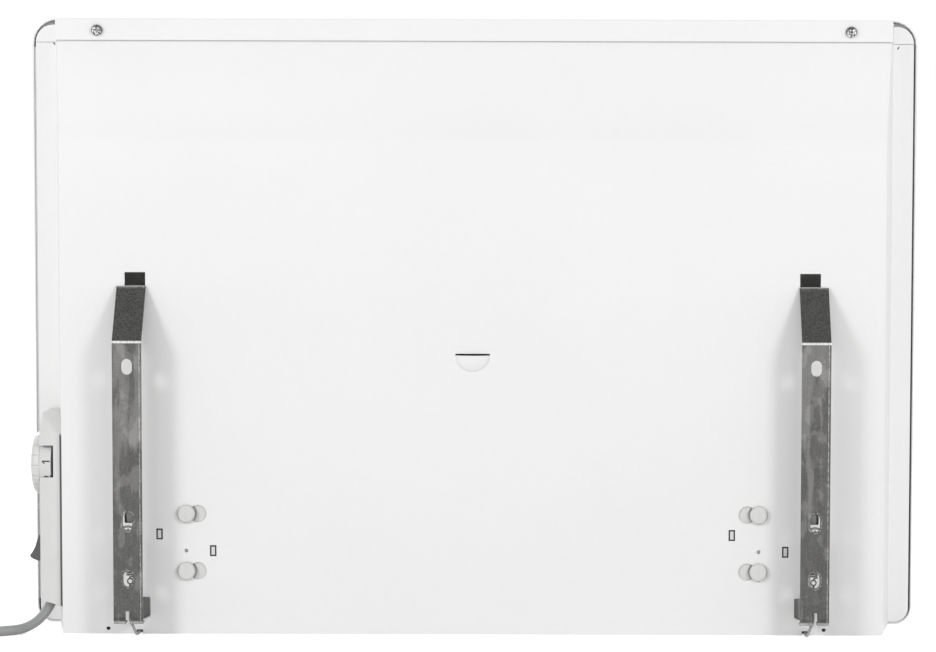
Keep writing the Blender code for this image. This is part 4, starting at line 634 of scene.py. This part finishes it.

# The strip's screws: painted shade darkens their rim, more towards the top, and their cross, and random
# bright and dark blotches of colour are painted in place of reflections.
SCREW_X = 0.270
SCREW_Z = 0.4305
SQUARE_MM = 1000000
screw_zinc = Look("screw_zinc_painted_shade")
across = abs(screw_zinc.axis("X")) - SCREW_X
along = screw_zinc.axis("Z") - SCREW_Z
from_middle = screw_zinc.maths("SQRT", across * across + along * along)
rim_shade = (from_middle + along * 0.45).eased(0.0021, 0.0034)
in_cross = (abs(across) * abs(along) * SQUARE_MM).eased(0.05, 0.6)
blotches = screw_zinc.noise(620, 3.0).eased(0.42, 0.58)
# Painted shade at the rim and in the cross, and painted reflection in the blotches.
shine = blotches * 0.62 * (1 - rim_shade * 0.85) * (in_cross * 0.55 + 0.45) + 0.07
screw_zinc.shows(
    base_color=screw_zinc.ramp(shine, (0.0, (0.02, 0.02, 0.022)), (0.75, (0.80, 0.80, 0.81))),
    metallic=0.9,
    roughness=blotches * 0.1 + 0.26,
    normal=screw_zinc.bump(blotches, 0.00005, 0.5),
)
for side in ("left", "right"):
    dress(f"top_strip_screw_{side}", screw_zinc, radius=0.00015, angle=30)


# Element supports: two moulded plates behind the pan.
# Each is ivory heat-resistant plastic with two mushroom studs, pushed through
# keyholes and slid sideways to lock, and two small tabs that snap into windows.

SUPPORT_X = 0.204
STUD_HEIGHTS = (0.0455, 0.0865)
STUD_RADIUS = 0.0065
HEAD_SEAT_Y = 0.0278
TAB_SIZE = (0.0039, 0.0072)
TAB_PLACES = ((0.0191, 0.0718), (-0.0191, 0.0599))
TABS = [(side * SUPPORT_X + offset, z) for side in (1, -1) for offset, z in TAB_PLACES]

ivory = rubbed_plastic("ivory_moulding", (0.68, 0.68, 0.665), roughness=0.46, grain=1500, variation=0.03)
body_colour = clouded(ivory, (0.66, 0.66, 0.645), (0.70, 0.70, 0.685))
across = abs(ivory.axis("X")) - SUPPORT_X
height = ivory.axis("Z")
on_head = ivory.axis("Y").eased(HEAD_SEAT_Y, HEAD_SEAT_Y + 0.0006)
around = None
for z in STUD_HEIGHTS:
    along = height - z
    away = ivory.maths("SQRT", across * across + along * along)
    around = away if around is None else ivory.maths("MINIMUM", around, away)
parting = 1 - abs(across).eased(0.00012, 0.00030)
# Painted shade on each stud's head: darker on its outer side and towards its edge, with a faintly darker
# parting line.
outward_shade = (across + around * 0.35).eased(0.0052, 0.0086)
head_shade = on_head * (outward_shade * 0.38 + around.eased(0.0048, 0.0066) * 0.14 + parting * 0.07)
# A painted shadow on the plate beside each head, on its inner side, where the keyhole lies in shade.
head_shadow = (1 - on_head) * (1 - around.eased(STUD_RADIUS + 0.0002, STUD_RADIUS + 0.0017))
head_shadow = head_shadow * (1 - across.eased(-0.004, 0.001))
shade = ivory.mix(head_shade + head_shadow * 0.62, body_colour, (0.06, 0.06, 0.06))
# A dark line painted round each snap tab: the painted shade of the slot about it.
for x, z in TABS:
    edge = (abs(ivory.axis("X") - x) - TAB_SIZE[0] / 2).or_more(abs(height - z) - TAB_SIZE[1] / 2)
    slot_shade = edge.eased(-0.00085, -0.00060) * (1 - edge.eased(0.0008, 0.0010))
    shade = ivory.mix(slot_shade, shade, (0.015, 0.015, 0.015))
ivory.shows(
    base_color=shade,
    normal=ivory.bump(ivory.noise(1500, 2.0) + parting * on_head * 1.5, 0.00006, 0.5),
)
for side in ("left", "right"):
    dress(f"element_support_{side}", ivory, radius=0.0003, angle=30)


# Control unit: a satin grey moulding with a dial and a rocker switch.
# The dial's scale shows through a window in the unit's back, and its grip stands out
# of the side with flat finger facets; the rocker sits in a thin black bezel below it.

UNIT_INNER_X = 0.2951
UNIT_STRAIGHT_TOP = 0.141
UNIT_BACK_Y = 0.0222
UNIT_GREY = (0.67, 0.67, 0.665)
moulding = rubbed_plastic("light_grey_moulding", UNIT_GREY, roughness=0.42, grain=1800, variation=0.02)
# Painted shade along the unit's inner edge beside the pan, below its sloped top, as of a dark crevice.
crevice_shade = 1 - moulding.axis("X").eased(UNIT_INNER_X - 0.0005, UNIT_INNER_X)
crevice_shade = crevice_shade * (1 - moulding.axis("Z").eased(UNIT_STRAIGHT_TOP, UNIT_STRAIGHT_TOP + 0.003))
crevice_shade = crevice_shade * moulding.axis("Y").eased(UNIT_BACK_Y, UNIT_BACK_Y + 0.0004)
clean = clouded(moulding, (0.657, 0.657, 0.652), (0.683, 0.683, 0.678))
moulding.shows(base_color=moulding.mix(crevice_shade * 0.95, clean, (0.05, 0.05, 0.05)))
dress("control_housing", moulding, radius=0.0008, segments=3, angle=20)
dress("housing_base", moulding, radius=0.0006)

DIAL_AXIS_Y = 0.0007
DIAL_AXIS_Z = 0.120
DIAL_RADIUS = 0.0225
GRIP_RADIUS = 0.0232
DIAL_START = 0.2998
DIAL_END = 0.3160
GRIP_START = 0.3097
FACETS = 18
FACET_STEPS = 8
FACET_GROOVE = 0.0006
swell = DIAL_RADIUS - GRIP_RADIUS
DIAL_PROFILE = [
    (DIAL_START, 0.0010, 0), (DIAL_START + 0.0002, 0.0003, 0), (DIAL_START + 0.0006, 0.0, 0),
    (GRIP_START - 0.0004, 0.0, 0), (GRIP_START, swell, 0.4), (GRIP_START + 0.0005, swell, 1),
    (DIAL_END - 0.0036, swell + 0.0001, 1), (DIAL_END - 0.0022, 0.0001, 1), (DIAL_END - 0.0012, 0.0010, 0.8),
    (DIAL_END - 0.0004, 0.0024, 0.4), (DIAL_END, 0.0040, 0), (DIAL_END, 0.0058, 0),
    (DIAL_END - 0.0005, 0.0075, 0), (DIAL_END - 0.0006, 0.0185, 0),
]

facet_half = math.pi / FACETS
shape = bmesh.new()
rings = []
for x, inset, facet in DIAL_PROFILE:
    ring = []
    for k in range(FACETS * FACET_STEPS):
        angle = 2 * math.pi * k / (FACETS * FACET_STEPS)
        from_middle = (angle % (2 * facet_half)) - facet_half
        flat = DIAL_RADIUS * (1 - math.cos(facet_half) / math.cos(from_middle))
        groove = FACET_GROOVE if k % FACET_STEPS == 0 else 0
        r = DIAL_RADIUS - inset - facet * (flat + groove)
        ring.append((x, DIAL_AXIS_Y + r * math.cos(angle), DIAL_AXIS_Z + r * math.sin(angle)))
    rings.append(ring)
join_rings(shape, rings)
dial_look = rubbed_plastic("dial_moulding", (0.66, 0.66, 0.655), roughness=0.40, grain=1800, variation=0.02)
clean = clouded(dial_look, (0.65, 0.65, 0.645), (0.67, 0.67, 0.665))
# Painted shade: a near black band in the groove where the dial seats, and darker lines along the grip's facet
# edges.
seat_groove_shade = 1 - dial_look.axis("X").eased(DIAL_START + 0.0012, DIAL_START + 0.0016)
turned = dial_look.maths("ARCTAN2", dial_look.axis("Z") - DIAL_AXIS_Z, dial_look.axis("Y") - DIAL_AXIS_Y)
from_edge = dial_look.maths("PINGPONG", turned * (FACETS / (2 * math.pi)), 0.5)
on_grip = dial_look.axis("X").eased(GRIP_START + 0.0002, GRIP_START + 0.0006)
facet_shade = (1 - from_edge.eased(0.012, 0.045)) * on_grip
clean = dial_look.mix(facet_shade * 0.45, clean, (0.2, 0.2, 0.2))
dial_look.shows(base_color=dial_look.mix(seat_groove_shade, clean, (0.02, 0.02, 0.02)))
dial = add_piece("dial", shape, dial_look, "dial")
dial.data.set_sharp_from_angle(angle=math.radians(32))
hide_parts("dial_knob")

DIGIT_SIZE = 0.0078
DIGIT_STEP = math.radians(31)
FIRST_DIGIT = math.radians(8)
DIGIT_X = 0.3046
FIGURES = 8
FIGURE_WEIGHT = 0.024
FIGURE_CUTS = 16
INK_LIFT = 0.00004


def flat_text(body, size):
    """The filled outline of generic figures, as a bmesh centred on the origin, cut fine enough to bend."""
    curve = bpy.data.curves.new("figure", "FONT")
    curve.body = body
    curve.size = size
    curve.offset = size * FIGURE_WEIGHT
    curve.align_x = "CENTER"
    curve.align_y = "CENTER"
    holder = bpy.data.objects.new("figure", curve)
    shape = bmesh.new()
    shape.from_mesh(holder.to_mesh())
    holder.to_mesh_clear()
    bpy.data.objects.remove(holder)
    middle = sum((v.co for v in shape.verts), Vector()) / len(shape.verts)
    bmesh.ops.translate(shape, vec=-middle, verts=shape.verts[:])
    furthest = FIGURE_CUTS // 2 + 1
    for k in range(-furthest, furthest + 1):
        parts = shape.verts[:] + shape.edges[:] + shape.faces[:]
        bmesh.ops.bisect_plane(shape, geom=parts, plane_co=(k * size / FIGURE_CUTS, 0, 0), plane_no=(1, 0, 0))
    return shape


def figure_one(size):
    """A plain 1 with a long flag, so narrow that it bends round the drum as it is."""
    shape = bmesh.new()
    stem, flag, high = 0.065, 0.24, 0.36
    for outline in (
        [(-stem, -high), (stem, -high), (stem, high), (-stem, high)],
        [(-stem, high), (-stem, high - 0.15), (-flag, high - 0.30), (-flag, high - 0.19)],
    ):
        shape.faces.new([shape.verts.new((x * size, y * size, 0)) for x, y in outline])
    return shape


ink = rubbed_plastic("printed_figures", (0.04, 0.04, 0.045), roughness=0.5, grain=1500)
for k in range(FIGURES):
    shape = flat_text(str(k + 1), DIGIT_SIZE) if k else figure_one(DIGIT_SIZE)
    middle = FIRST_DIGIT - DIGIT_STEP * k
    for v in shape.verts:
        angle = middle + v.co.x / DIAL_RADIUS
        y = DIAL_AXIS_Y + (DIAL_RADIUS + INK_LIFT) * math.cos(angle)
        z = DIAL_AXIS_Z + (DIAL_RADIUS + INK_LIFT) * math.sin(angle)
        v.co = Vector((DIGIT_X + v.co.y, y, z))
    add_piece(f"dial_figure_{k + 1}", shape, ink, "dial")

dark_grey = rubbed_plastic("dark_grey_plastic", (0.105, 0.105, 0.108), roughness=0.40, grain=1800)
dress("switch_body", black_plastic, radius=0.0002)

ROCKER_AXIS = (0.3093, 0.0007, 0.0587)
ROCKER_LEAN = math.radians(14)
ROCKER_TIP = (0.0087, 0.0077)
ROCKER_HIGH_TIP = 0.0060
ROCKER_WAIST = 0.0065
ROCKER_SIDES = (-0.0055, 0.0069)
rocker_section = [
    (-0.0055, -0.0048), (0.0010, -0.0102), (0.0024, -0.0102), (0.0060, -0.0098), (0.0078, -0.0090),
    (0.0084, -0.0084),
]
for k in range(17):
    v = ROCKER_TIP[1] * (k - 8) / 8
    rise = (ROCKER_TIP[0] if v < 0 else ROCKER_HIGH_TIP) - ROCKER_WAIST
    rocker_section.append((ROCKER_WAIST + rise * (abs(v) / ROCKER_TIP[1]) ** 1.5, v))
rocker_section += [(0.0055, 0.0086), (0.0046, 0.0094), (0.0024, 0.0102), (0.0010, 0.0102), (-0.0055, 0.0048)]
shape = bmesh.new()
rings = []
for y in ROCKER_SIDES:
    ring = []
    for u, v in rocker_section:
        x = u * math.cos(ROCKER_LEAN) - v * math.sin(ROCKER_LEAN)
        z = v * math.cos(ROCKER_LEAN) + u * math.sin(ROCKER_LEAN)
        ring.append((ROCKER_AXIS[0] + x, y, ROCKER_AXIS[2] + z))
    rings.append(ring)
join_rings(shape, rings)
rocker = add_piece("rocker", shape, dark_grey, "rocker")
soften(rocker, radius=0.0004, segments=3, angle=50)
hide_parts("switch_rocker")


# Wall brackets: bent straps of galvanised steel with sprung hooks.
# Their zinc has a faint spangle, streaks from rolling and dull smears from handling;
# rings are pressed round the two lower ovals, and hooks of drawn wire hang in springs.

SPANGLE_SIZE = 260
BRACKET_X = 0.242
BRACKET_HALF = 0.01025
BRACKET_WALL = 0.0015
WALL_Y = 0.0525
RINGED_OVALS = ((0.0839, 0.0068, 0.0125), (0.0431, 0.0066, 0.0110))


def galvanised(name, colour):
    """Hot dipped zinc: a spangle, streaks along the strip, and smears and patches that dull it."""
    look = Look(name)
    inputs = {"Vector": look.where((1, 1, 0.45)), "Scale": SPANGLE_SIZE}
    cells = look.node("ShaderNodeTexVoronoi", inputs=inputs, output="Color")
    spangle = look.node("ShaderNodeRGBToBW", inputs={0: cells})
    streaks = look.noise(520, 3.0, (1, 1, 0.025))
    look.smears = look.noise(70, 9.0, (1, 1, 0.14)).eased(0.50, 0.58)
    look.patches = look.noise(95, 12.0, (1, 1, 0.6)).eased(0.54, 0.60)
    look.grain = look.noise(1100, 6.0)
    marks = look.smears * 0.34 + look.patches * 0.24 + look.grain * 0.60
    look.tone = spangle * 0.12 + streaks * 0.20 + marks + 0.065
    look.relief = look.bump(streaks, 0.00004, 0.5)
    look.shows(
        base_color=look.toned(colour, look.tone),
        metallic=0.82,
        roughness=0.50 - look.smears * 0.10 + streaks * 0.10,
        normal=look.relief,
    )
    return look


# The strap is darker over its foot. Where it slopes it is darkened by painted shade, with a band of painted
# shade just above its lip, and painted highlights lie at its bends, along one crease, on the rings pressed
# round its ovals and on the edge of its lip.
STRAP_ZINC = (0.205, 0.203, 0.196)
HIGHLIGHT_ZINC = (0.72, 0.72, 0.71)
LOWER_BEND_Z = 0.2106
UPPER_BEND_Z = 0.2497
LIP_HIGH = 0.0128
LIP_SHADE_Z = 0.0148
CREASE_OFFSET = 0.0088
RING_WIDTH = 0.0009
RING_HEIGHT = 0.0006

strap_zinc = galvanised("galvanised_strap", STRAP_ZINC)
height = strap_zinc.axis("Z")
# Painted shade over the slope and in a band just above the lip; the foot is darker too.
incline = height.eased(0.2085, 0.2115) * (1 - height.eased(0.2466, 0.2486))
foot = 1 - height.eased(0.010, 0.026)
shade_above_lip = 1 - abs(height - LIP_SHADE_Z).eased(0.0006, 0.0016)
tone = strap_zinc.tone * (1 - incline * 0.50) * (1 - foot * 0.12) * (1 - shade_above_lip * 0.30)
marks = strap_zinc.grain * 0.60 - strap_zinc.smears * 0.17 - strap_zinc.patches * 0.12
tone = tone + incline * (marks - 0.23)

across = abs(strap_zinc.axis("X")) - BRACKET_X
ring = None
for middle, wide, high in RINGED_OVALS:
    along = (abs(height - middle) - (high - wide) / 2).or_more(0.0)
    away = strap_zinc.maths("SQRT", across * across + along * along)
    one = 1 - abs(away - (wide / 2 + RING_WIDTH)).eased(0.0, 0.0011)
    ring = one if ring is None else ring.or_more(one)

# Painted highlights at the bends, along the crease, on the rings round the ovals and on the lip's edge.
flecks = strap_zinc.noise(1100, 4.0, (1, 1, 0.35)).eased(0.44, 0.60)
bends = 1 - abs(height - LOWER_BEND_Z).eased(0.0004, 0.0012)
bends = bends.or_more((1 - abs(height - UPPER_BEND_Z).eased(0.0007, 0.0013)) * 0.95)
crease = 1 - abs(abs(strap_zinc.axis("X") + CREASE_OFFSET) - BRACKET_X).eased(0.00015, 0.0004)
highlight = bends * (flecks * 0.25 + 0.75)
highlight = highlight.or_more(crease * (flecks * 0.7 + 0.3) * (1 - incline) * 0.5)
highlight = highlight.or_more(ring * flecks * 0.3)
highlight = highlight.or_more((1 - height.eased(LIP_HIGH, LIP_HIGH + 0.0008)) * (flecks * 0.2 + 0.25))
strap_zinc.shows(
    base_color=strap_zinc.mix(highlight, strap_zinc.toned(STRAP_ZINC, tone), HIGHLIGHT_ZINC),
    normal=strap_zinc.bump(ring, RING_HEIGHT, 1.0, strap_zinc.relief),
)

TONGUE_ZINC = (0.185, 0.183, 0.177)
tongue_zinc = galvanised("galvanised_tab", TONGUE_ZINC)
# Painted shade: a dark band along the tongue's outer side.
side_shade = (abs(tongue_zinc.axis("X")) - BRACKET_X).eased(0.0006, 0.0011)
tongue_zinc.shows(base_color=tongue_zinc.mix(side_shade, TONGUE_ZINC, (0.035, 0.035, 0.035)))
# A near white zinc for the wing's lower edge: a painted highlight.
highlight_edge_zinc = galvanised("galvanised_edge_highlight", (0.92, 0.92, 0.91))
highlight_edge_zinc.shows(metallic=0.3)
spring_wire = plated("spring_wire", (0.30, 0.30, 0.305), roughness=0.30)
dull_wire = plated("dull_wire", (0.21, 0.21, 0.215), roughness=0.34)

WING_REACH = 0.022
WING_SPLAY = 0.0023
WING_ROOT_LAP = 0.0002
WING_LOW = 0.0146
WING_DROP = 0.0006
WING_HIGH_AT_WALL = 0.0305
WING_HIGH_AT_PAN = 0.0270
WING_EDGE_OUT = 0.0003
WING_EDGE_AT_WALL = 0.0009
WING_EDGE_AT_PAN = 0.0010
CAD_WING_HIGH = 0.028
KNIFE_SPARE = 0.002
KNIFE_CLEARANCE = 0.0002
KNIFE_SKIN = 0.00002


def plain_bracket(word, side):
    """A copy of the bracket without its side wing."""
    mesh = bpy.data.objects[f"wall_bracket_{word}"].data.copy()
    piece = bpy.data.objects.new(f"bracket_{word}", mesh)
    scene.collection.objects.link(piece)
    weld_seams(piece)
    shape = bmesh.new()
    edge = side * (BRACKET_X - BRACKET_HALF)
    x_out, x_in = edge - side * KNIFE_SPARE, edge + side * (BRACKET_WALL + KNIFE_CLEARANCE)
    y_pan, y_wall = WALL_Y - WING_REACH - KNIFE_SPARE, WALL_Y - BRACKET_WALL - KNIFE_SKIN
    join_rings(shape, [
        [(x_out, y_pan, z), (x_in, y_pan, z), (x_in, y_wall, z), (x_out, y_wall, z)]
        for z in (LIP_HIGH, CAD_WING_HIGH + KNIFE_SPARE)
    ])
    bmesh.ops.recalc_face_normals(shape, faces=shape.faces[:])
    knife_mesh = bpy.data.meshes.new("knife")
    shape.to_mesh(knife_mesh)
    shape.free()
    knife = bpy.data.objects.new("knife", knife_mesh)
    scene.collection.objects.link(knife)
    cut = piece.modifiers.new("cut", "BOOLEAN")
    cut.operation = "DIFFERENCE"
    cut.object = knife
    seen = piece.evaluated_get(bpy.context.evaluated_depsgraph_get())
    shape = bmesh.new()
    shape.from_mesh(seen.to_mesh())
    seen.to_mesh_clear()
    bpy.data.objects.remove(piece)
    bpy.data.objects.remove(knife)
    return shape


def wing_ring(side, at_pan, low, high, outwards=0.0):
    """The four corners of the side wing where it leaves the strap, or at its splayed end by the pan."""
    edge = side * (BRACKET_X - BRACKET_HALF)
    shift = -side * WING_SPLAY if at_pan else 0.0
    y = WALL_Y - WING_REACH if at_pan else WALL_Y - BRACKET_WALL - WING_ROOT_LAP
    outer = edge - side * outwards + shift
    inner = edge + side * BRACKET_WALL + shift
    return [(outer, y, low), (inner, y, low), (inner, y, high), (outer, y, high)]


def bend_bracket(word, side):
    shape = plain_bracket(word, side)
    join_rings(shape, [
        wing_ring(side, False, WING_LOW, WING_HIGH_AT_WALL),
        wing_ring(side, True, WING_LOW - WING_DROP, WING_HIGH_AT_PAN),
    ])
    bracket = add_piece(f"bracket_{word}", shape, strap_zinc, f"bracket_{word}")
    soften(bracket, radius=0.00025, angle=22)
    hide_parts(f"wall_bracket_{word}")


def highlight_wing_edge(word, side):
    """The wing's lower edge, turned out by a little, in near white zinc as a painted highlight."""
    shape = bmesh.new()
    low_at_pan = WING_LOW - WING_DROP
    join_rings(shape, [
        wing_ring(side, False, WING_LOW - WING_EDGE_AT_WALL, WING_LOW, WING_EDGE_OUT),
        wing_ring(side, True, low_at_pan - WING_EDGE_AT_PAN, low_at_pan, WING_EDGE_OUT),
    ])
    add_piece(f"wing_edge_{word}", shape, highlight_edge_zinc, f"bracket_{word}")


# How far down from the oval's top, half how wide and how far inwards the tongue is.
TONGUE_STEPS = (
    (0.0, 0.0020, 0.0006), (0.0020, 0.0029, 0.0012), (0.0064, 0.0029, 0.0026), (0.0074, 0.0025, 0.0030),
)
TONGUE_THICK = 0.0010
TONGUE_SHIFT = 0.0003
TONGUE_LAP = 0.0003


def bend_tongue(word, side):
    """The tongue that is bent inwards out of the middle oval."""
    x = side * (BRACKET_X - TONGUE_SHIFT)
    middle, wide, high = RINGED_OVALS[0]
    top = middle + high / 2 - TONGUE_LAP
    rings = []
    for down, half, inwards in TONGUE_STEPS:
        y = WALL_Y - BRACKET_WALL / 2 - inwards
        z = top - down
        back = y - TONGUE_THICK
        rings.append([(x - half, y, z), (x + half, y, z), (x + half, back, z), (x - half, back, z)])
    shape = bmesh.new()
    join_rings(shape, rings)
    tongue = add_piece(f"spring_tab_{word}", shape, tongue_zinc, f"bracket_{word}")
    soften(tongue, radius=0.0003, angle=30)


SPRING_END_STEPS = 6
SPRING_END_HALF = 0.0032
SPRING_END_RISE = 0.0027
SPRING_END_BOW = 0.0006
SPRING_END_DEPTH = 0.0013
SPRING_END_RADIUS = 0.0008
HOOK_Y = 0.042
CURLS = 5
CURL_STEPS = 16
CURL_RADIUS = 0.0026
CURL_PITCH = 0.00145
CURL_TOP = 0.0508
CURL_TAIL = ((0.0434, 0.0428), (0.0420, 0.0418))
EYE_STEPS = 20
EYE_RADIUS = 0.0019
EYE_Z = 0.0402
CURL_WIRE_RADIUS = 0.0005
HOOK_WIRE_RADIUS = 0.001
# How far towards the middle of the pan, at what depth and at what height the hook's wire runs.
HOOK_KNOTS = (
    (0.0, 0.042, 0.0384), (0.0, 0.042, 0.026), (0.0, 0.042, 0.0125), (0.0017, 0.042, 0.0082),
    (0.0034, 0.0417, 0.0040), (0.0041, 0.0398, 0.0021), (0.0045, 0.0360, 0.0018),
    (0.0045, 0.0275, 0.0018), (0.0045, 0.0217, 0.0018),
)


def bend_wire(name, points, radius, look, body, resolution=3):
    wire = tube(name, points, radius, look, resolution)
    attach(wire, body)
    return wire


def hang_spring_and_hook(word, side):
    """The spring's end across the middle oval, its last curls, the hook's eye and the hook."""
    x = side * BRACKET_X
    middle, wide, high = RINGED_OVALS[0]
    low = middle - high / 2 + SPRING_END_RISE
    across = []
    for k in range(-SPRING_END_STEPS, SPRING_END_STEPS + 1):
        share = k / SPRING_END_STEPS
        drop = SPRING_END_BOW * share**2
        across.append(Vector((x + SPRING_END_HALF * share, WALL_Y - SPRING_END_DEPTH, low - drop)))
    bend_wire(f"spring_end_{word}", across, SPRING_END_RADIUS, dull_wire, f"bracket_{word}")

    curls = []
    for k in range(CURL_STEPS * CURLS + 1):
        turn = 2 * math.pi * k / CURL_STEPS
        y = HOOK_Y + CURL_RADIUS * math.cos(turn)
        curls.append(Vector((x + CURL_RADIUS * math.sin(turn), y, CURL_TOP - CURL_PITCH * k / CURL_STEPS)))
    curls += [Vector((x, y, z)) for y, z in CURL_TAIL]
    bend_wire(f"spring_end_curls_{word}", curls, CURL_WIRE_RADIUS, dull_wire, f"hook_{word}")

    turns = [2 * math.pi * k / EYE_STEPS for k in range(EYE_STEPS + 1)]
    eye = [Vector((x + EYE_RADIUS * math.sin(a), HOOK_Y, EYE_Z - EYE_RADIUS * math.cos(a))) for a in turns]
    bend_wire(f"hook_eye_{word}", eye, CURL_WIRE_RADIUS, dull_wire, f"hook_{word}")
    dress(f"hook_spring_{word}", spring_wire)

    hook_line = through([(x - side * lean, y, z) for lean, y, z in HOOK_KNOTS], 6)
    hook = bend_wire(f"hook_{word}_wire", hook_line, HOOK_WIRE_RADIUS, spring_wire, f"hook_{word}", 4)
    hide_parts(f"hook_wire_{word}")


for word, side in SIDES:
    bend_bracket(word, side)
    highlight_wing_edge(word, side)
    bend_tongue(word, side)
    hang_spring_and_hook(word, side)


# Inside: finned element, shield, cutout, thermostat, terminals and leads.
# The element is an aluminium extrusion with steel end fittings; behind the front a
# galvanised sheet keeps its heat off the shell; the leads have varnished glass sleeves.

alloy = Look("element_alloy")
drawn = alloy.noise(700, 3.0, (0.03, 1, 1))
alloy.shows(
    base_color=alloy.ramp(alloy.noise(30, 3.0), (0.3, (0.58, 0.58, 0.585)), (0.7, (0.70, 0.70, 0.705))),
    metallic=1.0,
    roughness=drawn * 0.2 + 0.34,
    normal=alloy.bump(drawn, 0.00004, 0.5),
)
dress("heating_element", alloy, radius=0.0002)
shield_zinc = galvanised("galvanised_sheet", (0.36, 0.36, 0.355))
for node in ("heat_shield", "cutout_bracket"):
    dress(node, shield_zinc, radius=0.0002)
bright_zinc = plated("bright_zinc", (0.60, 0.60, 0.61), roughness=0.30)
for side in ("left", "right"):
    dress(f"element_end_{side}", bright_zinc, radius=0.0002)
phenolic = rubbed_plastic("brown_phenolic", (0.105, 0.052, 0.032), roughness=0.38, grain=900, variation=0.12)
for node in ("thermal_cutout", "thermostat_body"):
    dress(node, phenolic, radius=0.0003)
dress("thermostat_shaft", nickel, radius=0.0002)
dress("terminal_block", moulding, radius=0.0003)

sleeve = Look("glass_sleeve")
braid = {"Vector": sleeve.where(), "Scale": 420, "Distortion": 1.5}
weave = sleeve.node("ShaderNodeTexWave", {"bands_direction": "DIAGONAL"}, braid)
sleeve.shows(
    base_color=sleeve.ramp(weave, (0.2, (0.26, 0.07, 0.035)), (0.8, (0.40, 0.125, 0.06))),
    roughness=weave * 0.12 + 0.52,
    normal=sleeve.bump(weave, 0.00008, 0.6),
)
for node in ("lead_live", "lead_neutral", "lead_link"):
    dress(node, sleeve)
